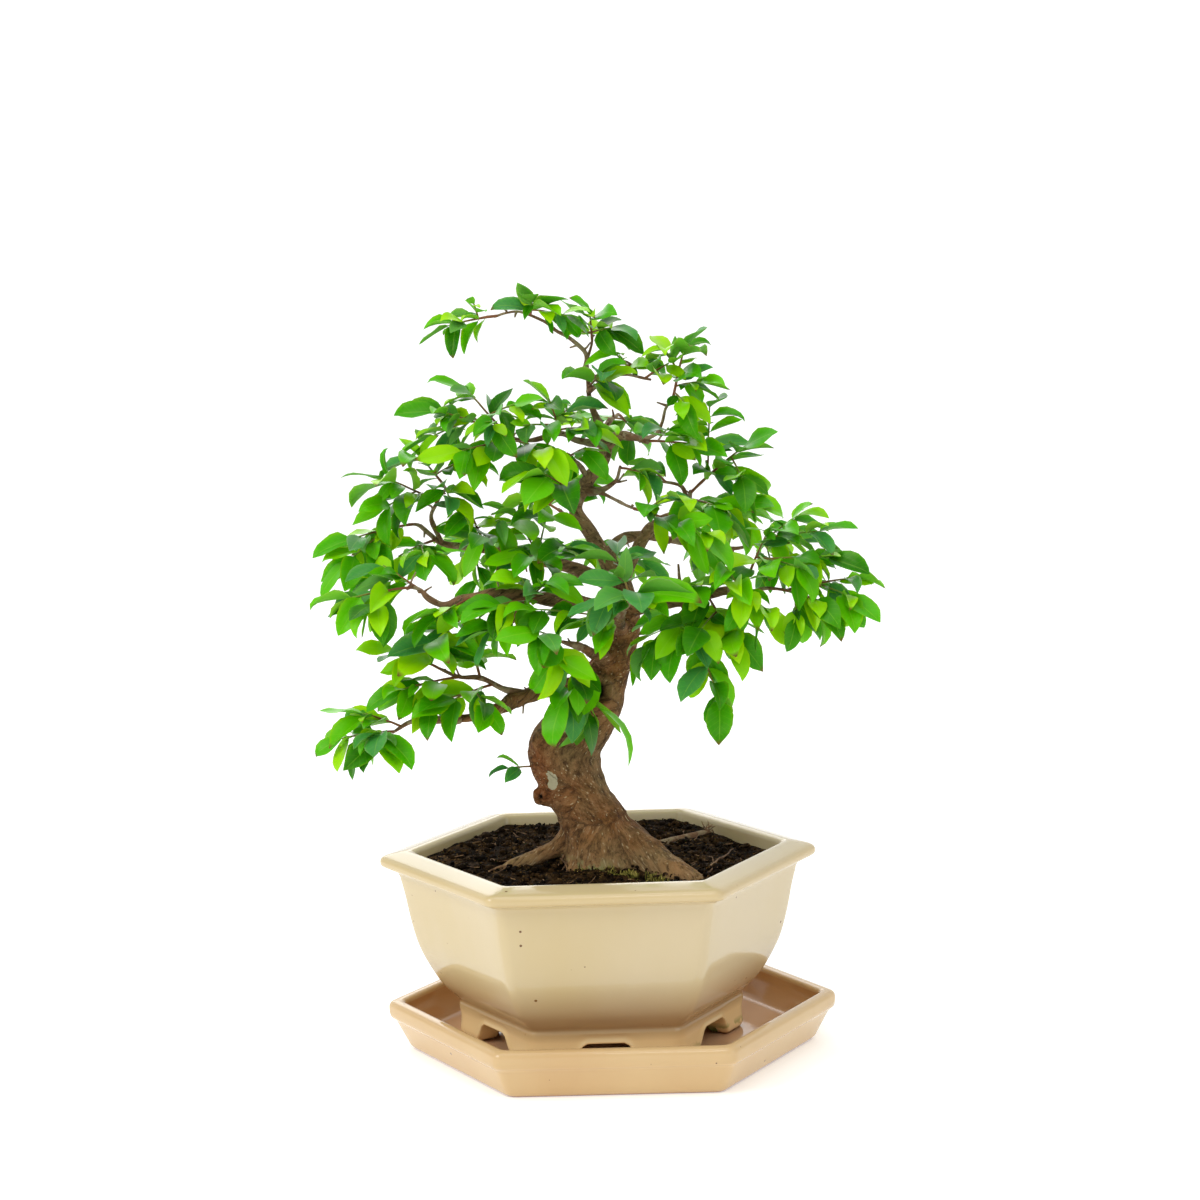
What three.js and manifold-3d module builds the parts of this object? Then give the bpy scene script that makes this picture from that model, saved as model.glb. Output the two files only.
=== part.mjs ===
// Syzygium bonsai in a hexagonal glazed pot that stands in its saucer.
// Millimetres, +Z up. The origin is the centre of the saucer's underside, and the
// front of the tree looks along -Y.
import * as THREE from 'three';
import { mergeVertices } from 'three/addons/utils/BufferGeometryUtils.js';
import Module from 'manifold-3d';

const wasm = await Module();
wasm.setup();

// Driving dimensions of the pot and the saucer. A corner radius is measured from
// the middle of the hexagon to the rounded tip of a corner.
const GAP = 0.3;
const POT_X = -6.3;
const POT_TURN = THREE.MathUtils.degToRad(1.8);
const SAUCER_TURN = THREE.MathUtils.degToRad(0.45);
const SAUCER_FLOOR = 8.3;
const SAUCER_CORNER = 128.9;
const POT_CORNER = 125;
const POT_FOOT = SAUCER_FLOOR + GAP;
const FOOT_HEIGHT = 18.4;
const POT_FLOOR = 36.5;
const RIM_TOP = 117.2;
const CORNER_ROUND = 7;
const ARCH_FOOT_HALF = 17;
const ARCH_TOP_HALF = 7;
const ARCH_HEIGHT = 11.7;
const DRAIN_RADIUS = 12;
const DRAIN_NET = 32;
const NET_THICK = 1.2;
const SOIL_LEVEL = 109.5;

// Driving dimensions of the foliage. A leaf's skin is worked out at LEAF_STATIONS, the
// shares of its length, where it has LEAF_OUTLINE of its width and LEAF_BODY of its
// thickness, which is LEAF_TOP over the midrib and LEAF_KEEL under it.
const LEAF_LENGTH = 23;
const LEAF_WIDTH = 0.55;
const LEAF_TOP = 0.4;
const LEAF_KEEL = 0.7;
const LEAF_STATIONS = [0, 0.08, 0.34, 0.66, 1];
const LEAF_OUTLINE = [0, 0.1, 1, 0.82, 0];
const LEAF_BODY = [0, 0.6, 1, 1, 0];

// The large leaves are the ones built here. A leaf is one of them past LARGE_LEAF, or
// past these lengths at a size of 1: for the outer pair and tip, and for inner pairs.
const LARGE_LEAF = 30;
const OUTER_LEAST = 21;
const INNER_LEAST = 25;

// Free room kept round a blade: to wood, to the shoots of its own spray, to leaves of its
// own spray, and to the shoots and leaves of other sprays.
const CLEAR_WOOD = 1.2;
const CLEAR_STEM = 1.3;
const CLEAR_OWN = 2.2;
const CLEAR_OTHER = 3;

// A shoot's stem runs straight for about STEM_STEP and tapers to the radius STEM_TIP. The
// leaf at its end starts LEAF_TIP_SUNK inside it. SEED starts the draws for every leaf.
const STEM_STEP = 26;
const STEM_TIP = 0.65;
const LEAF_TIP_SUNK = 1;
const SEED = 7;

const materials = {
  saucer: new THREE.MeshStandardMaterial({ color: '#dfc394', roughness: 0.35 }),
  pot: new THREE.MeshStandardMaterial({ color: '#e2d3ae', roughness: 0.3 }),
  net: new THREE.MeshStandardMaterial({ color: '#2b2b2b', roughness: 0.6 }),
  soil: new THREE.MeshStandardMaterial({ color: '#3a2a20', roughness: 0.95 }),
  bark: new THREE.MeshStandardMaterial({ color: '#8a6a4f', roughness: 0.85 }),
  leaf: new THREE.MeshStandardMaterial({ color: '#3f9a1a', roughness: 0.4 }),
};

const group = new THREE.Group();
group.name = 'syzygium_bonsai';

// A closed geometry as a solid: shared corners merged, slivers left out, facing out.
function toSolid(geometry) {
  const plain = new THREE.BufferGeometry();
  plain.setAttribute('position', geometry.getAttribute('position'));
  plain.setIndex(geometry.getIndex());
  const merged = mergeVertices(plain, 1e-4);
  const position = merged.getAttribute('position').array;
  const index = merged.getIndex().array;
  const triangles = [];
  let volume = 0;
  const corner = [new THREE.Vector3(), new THREE.Vector3(), new THREE.Vector3()];
  for (let i = 0; i < index.length; i += 3) {
    const [a, b, c] = [index[i], index[i + 1], index[i + 2]];
    if (a === b || b === c || c === a) continue;
    triangles.push(a, b, c);
    corner.forEach((point, k) => point.fromArray(position, index[i + k] * 3));
    volume += corner[0].dot(corner[1].cross(corner[2]));
  }
  if (volume < 0) triangles.reverse();
  const mesh = new wasm.Mesh({
    numProp: 3,
    vertProperties: Float32Array.from(position),
    triVerts: Uint32Array.from(triangles),
  });
  return new wasm.Manifold(mesh);
}

function fromSolid(solid) {
  const { vertProperties, triVerts } = solid.getMesh();
  const geometry = new THREE.BufferGeometry();
  geometry.setAttribute('position', new THREE.BufferAttribute(vertProperties, 3));
  geometry.setIndex(new THREE.BufferAttribute(triVerts, 1));
  geometry.computeVertexNormals();
  return geometry;
}

// The largest body of a solid: a scrap that a cut leaves loose is dropped.
function largestBody(solid) {
  const bodies = solid.decompose();
  return bodies.reduce((best, body) => (body.volume() > best.volume() ? body : best));
}

function addNode(name, solid, material) {
  const mesh = new THREE.Mesh(fromSolid(solid), material);
  mesh.name = name;
  group.add(mesh);
}

// A hexagon with rounded corners, turned from a profile of [corner radius, height].
// Each corner takes three columns of points, on an arc of CORNER_ROUND.
function hexTurn(profile, turn, centreX) {
  const points = profile.map(([radius, z]) => new THREE.Vector2(radius, z));
  const geometry = new THREE.LatheGeometry(points, 18);
  const position = geometry.getAttribute('position');
  for (let i = 0; i < position.count; i += 1) {
    const column = Math.floor(i / profile.length) % 18;
    const [radius, z] = profile[i % profile.length];
    const round = Math.min(CORNER_ROUND, radius);
    const corner = Math.floor(column / 3) * Math.PI / 3 + turn;
    const along = corner + (column % 3 - 1) * Math.PI / 6;
    const x = (radius - round) * Math.cos(corner) + round * Math.cos(along);
    const y = (radius - round) * Math.sin(corner) + round * Math.sin(along);
    position.setXYZ(i, centreX + x, y, z);
  }
  return geometry;
}

// Saucer: a flat floor, slanted walls, and a lip rolled to a thick bead.
function buildSaucer() {
  const R = SAUCER_CORNER;
  return toSolid(hexTurn([
    [0, 0], [R - 15, 0], [R - 12.3, 2.2], [R - 3.4, 17.8], [R - 0.6, 20.4], [R, 24],
    [R - 2, 27.2], [R - 5.2, 28.2], [R - 8.2, 26.6], [R - 9.6, 23], [R - 14.5, 10.5],
    [R - 18, SAUCER_FLOOR], [0, SAUCER_FLOOR],
  ], SAUCER_TURN, 0));
}

// The pot's inside, from the rim down to its level floor: soil follows it.
const POT_INSIDE = [
  [105.8, RIM_TOP - 0.6], [103.5, 110], [96, 65], [82, 42], [46, POT_FLOOR], [0, POT_FLOOR],
];

// Pot: six feet round a hollow base, flared walls, a neck and a lip that slopes out.
function buildPot() {
  const R = POT_CORNER;
  const baseUnder = POT_FOOT + FOOT_HEIGHT;
  let pot = toSolid(hexTurn([
    [0, baseUnder], [67, baseUnder], [69, POT_FOOT], [77.5, POT_FOOT], [80.5, POT_FOOT + 5],
    [81, baseUnder + 2], [91.5, 39], [99, 51], [104.6, 63], [108.4, 77], [111.8, 95],
    [115, 105], [R - 1.2, 109.2], [R, 112], [R - 2.2, 114.4], [R - 17, RIM_TOP], ...POT_INSIDE,
  ], POT_TURN, POT_X));
  // A low arch between each pair of feet, cut through from side to side.
  const arch = new THREE.Shape();
  const shoulder = (ARCH_FOOT_HALF + ARCH_TOP_HALF) / 2 + 1;
  arch.moveTo(-ARCH_FOOT_HALF, -2);
  arch.lineTo(-shoulder, ARCH_HEIGHT - 4);
  arch.lineTo(-ARCH_TOP_HALF, ARCH_HEIGHT);
  arch.lineTo(ARCH_TOP_HALF, ARCH_HEIGHT);
  arch.lineTo(shoulder, ARCH_HEIGHT - 4);
  arch.lineTo(ARCH_FOOT_HALF, -2);
  const tunnel = new THREE.ExtrudeGeometry(arch, { depth: 200, bevelEnabled: false });
  tunnel.translate(0, 0, -100);
  tunnel.rotateX(Math.PI / 2);
  for (let side = 0; side < 3; side += 1) {
    const cut = tunnel.clone();
    cut.rotateZ(POT_TURN + side * Math.PI / 3);
    cut.translate(POT_X, 0, POT_FOOT);
    pot = pot.subtract(toSolid(cut));
  }
  const drain = new THREE.CylinderGeometry(DRAIN_RADIUS, DRAIN_RADIUS, 40, 12);
  drain.rotateX(Math.PI / 2);
  drain.translate(POT_X, 0, baseUnder);
  return pot.subtract(toSolid(drain));
}

// Drain net: a square of plastic mesh that keeps the soil off the drain hole.
function buildDrainNet() {
  const plate = new THREE.BoxGeometry(DRAIN_NET, DRAIN_NET, NET_THICK);
  plate.translate(POT_X, 0, POT_FLOOR + GAP + NET_THICK / 2);
  let net = toSolid(plate);
  const pitch = DRAIN_NET / 3;
  for (let i = -1; i <= 1; i += 1) {
    for (let j = -1; j <= 1; j += 1) {
      const hole = new THREE.BoxGeometry(0.62 * pitch, 0.62 * pitch, 4 * NET_THICK);
      hole.translate(POT_X + i * pitch, j * pitch, POT_FLOOR + GAP);
      net = net.subtract(toSolid(hole));
    }
  }
  return net;
}

// Height of the uneven soil: highest round the trunk, level at the rim.
function soilHeight(x, y) {
  const mound = 4 * Math.exp(-((x - 2) ** 2 + (y + 14) ** 2) / 1600);
  return SOIL_LEVEL + mound + 0.7 * Math.sin(0.13 * x + 1) * Math.cos(0.17 * y);
}

// Soil: fills the pot to below the rim, and leaves room for the net under it.
function buildSoil(wood) {
  const side = 0.4;
  const wall = POT_INSIDE.slice(1).map(([radius, z]) => [Math.max(radius - side, 0), z + side]);
  const rings = [0, 20, 42, 64, 84, 98].map((radius) => [radius, SOIL_LEVEL]);
  wall[0][1] = SOIL_LEVEL - 0.4;
  const profile = [...rings, ...wall];
  const geometry = hexTurn(profile, POT_TURN, POT_X);
  const position = geometry.getAttribute('position');
  for (let i = 0; i < position.count; i += 1) {
    if (i % profile.length < rings.length) {
      position.setZ(i, soilHeight(position.getX(i), position.getY(i)));
    }
  }
  const room = new THREE.BoxGeometry(DRAIN_NET + 2 * GAP, DRAIN_NET + 2 * GAP, 8);
  room.translate(POT_X, 0, POT_FLOOR + 2 * GAP + NET_THICK - 4);
  return largestBody(toSolid(geometry).subtract(toSolid(room)).subtract(wood));
}

// The trunk's route from its foot in the soil to the tip: [x, y, z, radius].
const LEADER = [
  [3, -17, 96, 27], [-1, -16, 108, 26.5], [-4, -15, 118, 24.5], [-7, -14, 127, 21.8],
  [-10, -13.5, 136, 19], [-14, -13, 144, 17.6], [-18, -12, 152, 18.2], [-21.5, -11.5, 161, 19.2],
  [-23.4, -11, 170, 20.8], [-21, -10, 178, 20], [-15.5, -9, 187, 18.2], [-9.5, -8, 196, 16.8],
  [-5, -7.5, 204, 16], [-2, -7, 211, 14.6], [2, -6, 218, 12.3],
  [6, -5, 227, 10.8], [10, -3, 239, 9.6], [12, -1, 250, 8.8], [11, 1, 260, 8], [8, 3, 271, 6.6],
  [2, 4, 282, 4.9], [-6, 4, 295, 4.4], [-14, 2, 309, 4.2], [-13, 0, 320, 4.1], [-6, -2, 329, 4.1],
  [1, -3, 338, 4.1], [3, -2, 347, 3.9], [0, 0, 358, 3], [-5, 2, 371, 2], [-6, 2, 384, 1.7],
  [-7, 1, 394, 1.4],
];

// Surface roots and the knob low on the trunk: [x, y, z, radius], thick end first.
const ROOTS = {
  rootLeft: [[-14, -15, 128, 11], [-24, -16, 123.5, 8], [-33, -17, 118.4, 6], [-43, -19, 113.8, 5],
    [-53, -20, 110.8, 4], [-63, -21, 107, 2.2]],
  rootRight: [[7, -18, 120, 17], [20, -27, 115.5, 13], [31, -38, 111, 10.5], [41, -50, 107.5, 9.6],
    [50, -57, 104.5, 8.4]],
  rootFrontLeft: [[-9, -22, 120, 9], [-17, -28, 115, 4.5], [-23, -32, 110, 2.4]],
  rootFront: [[-2, -20, 120, 13], [-4, -34, 113, 7.5], [1, -42, 108, 3.4]],
  rootBackRight: [[5, -6, 120, 14], [15, 20, 113, 9], [25, 40, 107, 4]],
  rootBackLeft: [[-9, -4, 122, 14], [-21, 22, 114, 8.5], [-31, 44, 107, 3.5]],
  rootThin: [[16, 24, 108, 4], [35, 43, 109, 2.6], [48, 51, 110, 2.2], [53, 55, 111, 1.9],
    [57, 58, 112, 1.5]],
  knob: [[-22, -13, 150, 11], [-33, -15, 150.5, 8], [-40, -17, 150, 5.6]],
};

// Limbs: the radius at the foot and at the tip, then the route from foot to tip.
const LIMBS = {
  apex: [1.8, 1, [-7, 1, 391], [-7, 0, 399], [-15, -3, 407], [-23, -6, 412], [-29, -8, 417],
    [-42, -12, 423], [-50, -14, 423], [-57, -16, 421]],
  apexRight: [1.5, 1.1, [-7, 1, 393], [-4, 4, 402], [-3, 6, 408]],
  apexSide: [1.9, 1, [-6, 2, 384], [4, 4, 387], [12, 4, 389], [18, 3, 392]],
  topRightLow: [1.9, 1.1, [-6, 2, 377], [4, -4, 384], [14, -8, 387], [29, -12, 384]],
  upperRight: [3.6, 2.2, [2, -2, 346], [11, -8, 353], [19, -10, 352], [27, -8, 349]],
  rightRiser: [2, 1, [22, -9, 350], [31, -10, 353], [35, -12, 360], [37, -14, 368], [42, -14, 374]],
  upperLeft: [2.5, 1.1, [2, -2, 347], [-13, -8, 351], [-22, -12, 355], [-39, -16, 352],
    [-50, -18, 354], [-61, -20, 360], [-71, -22, 366]],
  leftTwig: [2.2, 1.1, [-7, -2, 328], [-13, -8, 338], [-20, -12, 341]],
  stub: [2.8, 1.2, [-9, 0, 321], [-1, -7, 322], [6, -10, 326], [9, -11, 329], [11, -12, 336]],
  longThin: [1.9, 1.1, [-10, -1, 322], [1, -14, 321], [10, -24, 317], [18, -31, 314]],
  rightFork: [4.8, 1.7, [9, 3, 268], [16, 8, 280], [24, 12, 293], [32, 14, 300], [42, 14, 307],
    [49, 12, 312], [51, 11, 319]],
  forkLeft: [2, 1.1, [49, 12, 313], [47, 12, 320], [43, 10, 323], [35, 6, 325]],
  rightLevel: [4.2, 1.1, [2, 4, 281], [10, 16, 290], [22, 24, 292], [40, 34, 288], [60, 42, 284],
    [76, 46, 281], [87, 45, 283]],
  lowRight: [5, 1.1, [11, -1, 250], [20, -14, 257], [32, -24, 260], [48, -32, 264], [62, -36, 267],
    [73, -38, 268], [81, -40, 266], [89, -40, 269], [103, -42, 268]],
  snag: [1.8, 1, [47, -31, 263], [43, -30, 273], [42, -29, 282]],
  lowLeft: [7.5, 1.3, [-5, -8, 205], [-18, -13, 209], [-30, -18, 211], [-41, -22, 211],
    [-50, -26, 207], [-59, -30, 203], [-73, -34, 200], [-90, -38, 199], [-107, -40, 199],
    [-119, -42, 193]],
  lowLeftUpper: [2.6, 1.2, [-43, -22, 210], [-56, -26, 213], [-71, -30, 221], [-82, -32, 222],
    [-94, -34, 228]],
  midLeft: [5, 1.3, [11, -2, 252], [-5, -18, 258], [-24, -30, 264], [-44, -38, 267],
    [-62, -42, 269], [-77, -46, 268], [-87, -48, 265], [-96, -50, 269], [-101, -50, 274],
    [-107, -52, 276]],
  upperMidLeft: [4.8, 1.1, [10, 2, 263], [-2, 8, 270], [-19, 12, 276], [-36, 12, 281],
    [-48, 10, 284], [-69, 6, 289], [-90, 2, 293], [-97, 0, 298], [-103, -2, 304], [-109, -3, 305]],
  leftRiser: [2.1, 1.1, [-91, 1, 294], [-96, -2, 308], [-92, -6, 318], [-87, -8, 325]],
  front: [5.4, 1.6, [10, -3, 241], [8, -28, 249], [9, -48, 258], [14, -62, 266]],
  frontLeft: [5.4, 1.5, [4, -6, 223], [-4, -26, 231], [-14, -43, 239], [-23, -56, 244]],
  frontHigh: [2.8, 1.4, [-13, 0, 316], [-15, -18, 320], [-17, -36, 326]],
  back: [4.8, 1.6, [10, 2, 262], [8, 26, 267], [5, 50, 271], [-1, 72, 275]],
  backUpper: [3.2, 1.4, [-6, 4, 296], [-14, 26, 301], [-23, 48, 304]],
  backTop: [2.6, 1.2, [1, -1, 355], [6, 22, 359], [11, 42, 361]],
  backRight: [2.4, 1.2, [38, 33, 288], [50, 56, 291], [60, 76, 292]],
  backLeft: [2.8, 1.3, [-34, 12, 281], [-49, 36, 278], [-64, 58, 278]],
};

// Leafy sprays. Each row is a shoot: what it grows on, how far along that, where its
// tip is, its pairs of leaves, their size and how far they hang. The first shoot of a
// spray grows on a limb, and the others grow on the first one ('own').
const SPRAYS = {
  apex_tip: [
    ['apex', 0.97, [-82, -22, 417], 2, 1.0, -0.2],
    ['own', 0.39, [-68, -24, 429], 2, 0.45, -0.3],
  ],
  apex_arch: [
    ['apex', 0.66, [-36, -18, 428], 2, 1.15, 0.1],
    ['own', 0.42, [-17, -20, 421], 2, 1.0, 0.15],
  ],
  crown: [
    ['apexRight', 0.81, [-4, 0, 420], 2, 1.05, 0.05],
    ['own', 0.29, [8, -6, 413], 2, 1.05, 0.2],
    ['own', 0.29, [-17, -8, 410], 2, 1.0, 0.3],
  ],
  crown_side: [
    ['apexSide', 0.73, [26, 0, 394], 2, 0.95, 0.15],
    ['own', 0.27, [8, -8, 400], 2, 0.9, 0.2],
  ],
  apex_front: [
    ['leader', 0.955, [1, -18, 387], 2, 1.35, 0.15],
  ],
  top_right_low: [
    ['topRightLow', 0.93, [39, -14, 393], 2, 1.1, 0.2],
  ],
  top_right: [
    ['rightRiser', 0.95, [48, -10, 401], 2, 1.2, 0.05],
    ['own', 0.24, [57, -22, 383], 2, 1.0, 0.35],
    ['own', 0.5, [37, -14, 401], 2, 1.0, 0.1],
    ['own', 0.13, [47, -28, 372], 2, 1.0, 0.8],
  ],
  upper_left_tip: [
    ['upperLeft', 0.8, [-89, -28, 370], 3, 1.1, 0.2],
    ['own', 0.41, [-95, -8, 354], 2, 1.1, 0.3],
  ],
  upper_left_top: [
    ['upperLeft', 0.7, [-73, -26, 381], 2, 1.15, 0.1],
    ['own', 0.43, [-47, -26, 373], 2, 0.95, 0.2],
    ['own', 0.15, [-58, -44, 364], 2, 1.15, 0.3],
  ],
  upper_left_low: [
    ['upperLeft', 0.58, [-76, -40, 349], 3, 1.2, 0.5],
    ['own', 0.13, [-29, -40, 348], 2, 1.15, 0.7],
  ],
  upper_left_right: [
    ['upperLeft', 0.33, [-28, -26, 376], 2, 1.05, 0.25],
    ['own', 0.36, [-14, 4, 370], 2, 1.05, 0.2],
    ['own', 0.2, [-42, -36, 362], 2, 1.1, 0.3],
    ['own', 0.1, [-3, -28, 359], 2, 1.15, 0.3],
  ],
  left_twig: [
    ['leftTwig', 0.95, [-8, -24, 348], 2, 1.0, 0.3],
    ['own', 0.24, [-27, -28, 338], 2, 0.9, 0.7],
  ],
  left_top: [
    ['leftRiser', 1.0, [-101, -16, 345], 2, 1.35, -0.3],
    ['own', 0.39, [-75, -22, 343], 2, 1.1, 0.3],
    ['own', 0.2, [-84, -30, 322], 2, 1.25, 0.3],
  ],
  left_far: [
    ['leftRiser', 0.64, [-118, -20, 332], 2, 1.45, -0.1],
    ['own', 0.43, [-120, -20, 317], 2, 1.05, 0.35],
  ],
  far_left_upper: [
    ['upperMidLeft', 0.96, [-140, -18, 299], 3, 1.2, 0.35],
    ['own', 0.39, [-141, -26, 288], 2, 1.2, 0.4],
  ],
  far_left_inner: [
    ['upperMidLeft', 0.72, [-114, -20, 289], 2, 1.1, 0.4],
    ['own', 0.4, [-99, -34, 291], 2, 1.15, 0.5],
  ],
  far_left_lower: [
    ['midLeft', 0.96, [-137, -64, 272], 3, 1.25, 0.5],
    ['own', 0.36, [-126, -70, 268], 2, 1.2, 0.6],
  ],
  far_left_mid: [
    ['midLeft', 0.83, [-121, -44, 287], 2, 1.2, 0.35],
    ['own', 0.48, [-128, -34, 278], 2, 1.15, 0.4],
  ],
  low_left_top: [
    ['lowLeftUpper', 0.96, [-117, -40, 239], 3, 1.1, 0.3],
    ['own', 0.32, [-93, -50, 246], 2, 1.4, 0.5],
  ],
  low_left_mid: [
    ['lowLeftUpper', 0.73, [-113, -48, 218], 3, 1.2, 0.3],
  ],
  low_left_rise: [
    ['lowLeftUpper', 0.48, [-77, -18, 244], 2, 1.1, 0.3],
    ['own', 0.52, [-89, -30, 249], 2, 1.1, 0.4],
  ],
  low_left_front: [
    ['lowLeftUpper', 0.36, [-86, -48, 211], 2, 1.2, 0.4],
    ['own', 0.44, [-67, -52, 209], 2, 1.05, 0.5],
    ['own', 0.55, [-100, -52, 208], 2, 1.1, 0.4],
  ],
  lowest_upper: [
    ['lowLeft', 0.95, [-135, -46, 205], 2, 1.25, 0.25],
  ],
  lowest_tip: [
    ['lowLeft', 0.99, [-147, -46, 191], 3, 1.0, 0.3],
    ['own', 0.22, [-124, -62, 196], 2, 1.3, 0.6],
  ],
  front_pair: [
    ['front', 0.98, [17, -74, 273], 1, 1.7, 0.4],
    ['own', 0.38, [1, -74, 270], 2, 1.15, 0.5],
    ['own', 0.25, [8, -46, 290], 2, 1.3, 0.3],
  ],
  front_mid: [
    ['front', 0.47, [-10, -64, 258], 2, 1.3, 0.6],
    ['own', 0.35, [-40, -60, 263], 2, 1.2, 0.4],
  ],
  front_left: [
    ['frontLeft', 1.0, [-35, -70, 252], 2, 1.35, 0.5],
    ['own', 0.28, [-27, -70, 236], 2, 1.3, 0.7],
  ],
  front_hang: [
    ['frontLeft', 0.35, [-22, -56, 215], 2, 1.4, 0.8],
    ['own', 0.31, [-18, -62, 227], 2, 1.2, 0.8],
    ['own', 0.6, [-11, -46, 203], 2, 1.35, 0.9],
  ],
  mid_left: [
    ['midLeft', 0.28, [-58, -64, 266], 2, 1.25, 0.5],
    ['own', 0.26, [-30, -58, 278], 2, 1.15, 0.4],
    ['own', 0.2, [-45, -50, 279], 2, 1.15, 0.3],
    ['own', 0.68, [-61, -66, 253], 2, 1.2, 0.7],
  ],
  mid_left_out: [
    ['midLeft', 0.51, [-90, -62, 261], 2, 1.2, 0.45],
    ['own', 0.44, [-77, -56, 252], 2, 1.15, 0.5],
  ],
  inner: [
    ['upperMidLeft', 0.33, [-41, -34, 289], 2, 1.25, 0.4],
    ['own', 0.15, [-17, -30, 293], 2, 1.25, 0.35],
    ['own', 0.18, [-48, -20, 312], 2, 1.15, 0.3],
    ['own', 0.25, [-30, -26, 312], 2, 1.1, 0.35],
  ],
  inner_left: [
    ['upperMidLeft', 0.54, [-75, -16, 316], 2, 1.2, 0.25],
    ['own', 0.46, [-57, -20, 308], 2, 1.1, 0.3],
    ['own', 0.2, [-66, -28, 300], 2, 1.15, 0.4],
  ],
  front_high: [
    ['frontHigh', 0.9, [-31, -48, 336], 2, 1.45, 0.5],
  ],
  right_fork: [
    ['rightFork', 0.88, [62, -22, 314], 2, 1.6, 0.55],
  ],
  fork_left: [
    ['forkLeft', 0.93, [27, -6, 335], 1, 0.9, 0.2],
  ],
  fork_right: [
    ['rightFork', 0.97, [81, -6, 345], 3, 1.15, 0.1],
    ['own', 0.75, [79, -14, 328], 2, 1.3, 0.45],
    ['own', 0.32, [62, 0, 367], 3, 1.0, 0.1],
  ],
  upper_right: [
    ['upperRight', 0.95, [60, -12, 346], 3, 1.2, 0.3],
    ['own', 0.19, [38, -26, 358], 2, 1.15, 0.3],
  ],
  stub: [
    ['stub', 0.97, [23, -20, 333], 2, 1.0, 0.35],
  ],
  long_thin: [
    ['longThin', 1.0, [56, -56, 301], 3, 1.25, 0.4],
    ['own', 0.15, [37, -44, 322], 2, 1.2, 0.25],
  ],
  right_high: [
    ['rightFork', 0.77, [84, 34, 308], 3, 1.2, 0.3],
    ['own', 0.49, [76, 14, 301], 2, 1.25, 0.4],
  ],
  riser: [
    ['lowRight', 0.68, [92, -27, 299], 1, 0.9, 0.2],
    ['own', 0.8, [108, -32, 308], 2, 1.1, 0.2],
    ['own', 0.87, [120, -40, 300], 2, 1.2, 0.15],
    ['own', 0.49, [124, -52, 287], 4, 1.15, 0.25],
    ['own', 0.55, [107, -62, 283], 2, 1.2, 0.4],
  ],
  right_tip: [
    ['lowRight', 0.99, [139, -50, 275], 3, 1.0, 0.5],
    ['own', 0.4, [133, -60, 267], 2, 1.2, 0.8],
  ],
  right_droop: [
    ['lowRight', 0.94, [119, -62, 264], 2, 1.35, 0.7],
    ['own', 0.41, [105, -60, 255], 2, 1.0, 0.9],
  ],
  right_front: [
    ['lowRight', 0.66, [77, -62, 268], 1, 1.1, 0.5],
    ['own', 0.5, [67, -58, 284], 2, 1.4, 0.4],
    ['own', 0.5, [90, -60, 259], 2, 1.15, 0.7],
  ],
  low_right: [
    ['lowRight', 0.38, [42, -50, 249], 2, 1.4, 0.7],
    ['own', 0.3, [26, -44, 240], 3, 1.15, 0.7],
  ],
  low_right_front: [
    ['lowRight', 0.45, [71, -52, 243], 3, 1.35, 0.55],
    ['own', 0.42, [52, -66, 250], 2, 1.2, 0.7],
    ['own', 0.15, [48, -56, 275], 2, 1.2, 0.3],
  ],
  low_right_hang: [
    ['lowRight', 0.33, [62, -66, 212], 4, 1.25, 0.5],
  ],
  right_level: [
    ['rightLevel', 1.0, [106, 52, 286], 2, 1.15, 0.3],
    ['own', 0.41, [97, 36, 275], 2, 1.1, 0.5],
  ],
  sprout: [
    ['leader', 0.25, [-56, -20, 167], 1, 0.7, -0.1],
  ],
  back_mid: [
    ['back', 1.0, [-10, 100, 279], 2, 1.25, 0.4],
    ['own', 0.37, [22, 96, 269], 2, 1.2, 0.4],
  ],
  back_upper: [
    ['backUpper', 0.99, [-42, 70, 313], 2, 1.2, 0.4],
    ['own', 0.39, [-15, 66, 321], 2, 1.15, 0.3],
  ],
  back_top: [
    ['backTop', 1.0, [20, 62, 349], 2, 1.15, 0.3],
    ['own', 0.33, [-8, 60, 358], 2, 1.15, 0.3],
  ],
  back_right: [
    ['backRight', 1.0, [83, 96, 301], 2, 1.2, 0.4],
    ['own', 0.33, [59, 104, 274], 2, 1.2, 0.5],
  ],
  back_left: [
    ['backLeft', 1.0, [-87, 80, 286], 2, 1.2, 0.4],
    ['own', 0.47, [-73, 84, 258], 2, 1.2, 0.5],
  ],
};

function toVector([x, y, z]) {
  return new THREE.Vector3(x, y, z);
}

// A closed tube along a route, with its own radius at every point. The section is
// carried along without twist, and `grow` widens and lengthens the tube all round.
function tube(route, radii, sides, grow) {
  const last = route.length - 1;
  const geometry = new THREE.CylinderGeometry(1, 1, 1, sides, last);
  const position = geometry.getAttribute('position');
  const frames = [];
  let side = new THREE.Vector3(0.3, 0.9, 0.2);
  route.forEach((point, i) => {
    const along = route[Math.min(i + 1, last)].clone().sub(route[Math.max(i - 1, 0)]).normalize();
    side = side.clone().addScaledVector(along, -side.dot(along)).normalize();
    frames.push({ along, side, up: along.clone().cross(side) });
  });
  for (let i = 0; i < position.count; i += 1) {
    const station = Math.round((position.getY(i) + 0.5) * last);
    const { along, side: across, up } = frames[station];
    const radius = radii[station] + grow;
    const point = route[station].clone();
    point.addScaledVector(across, position.getX(i) * radius);
    point.addScaledVector(up, position.getZ(i) * radius);
    if (station === 0) point.addScaledVector(along, -grow);
    if (station === last) point.addScaledVector(along, grow);
    position.setXYZ(i, point.x, point.y, point.z);
  }
  return toSolid(geometry);
}

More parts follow.
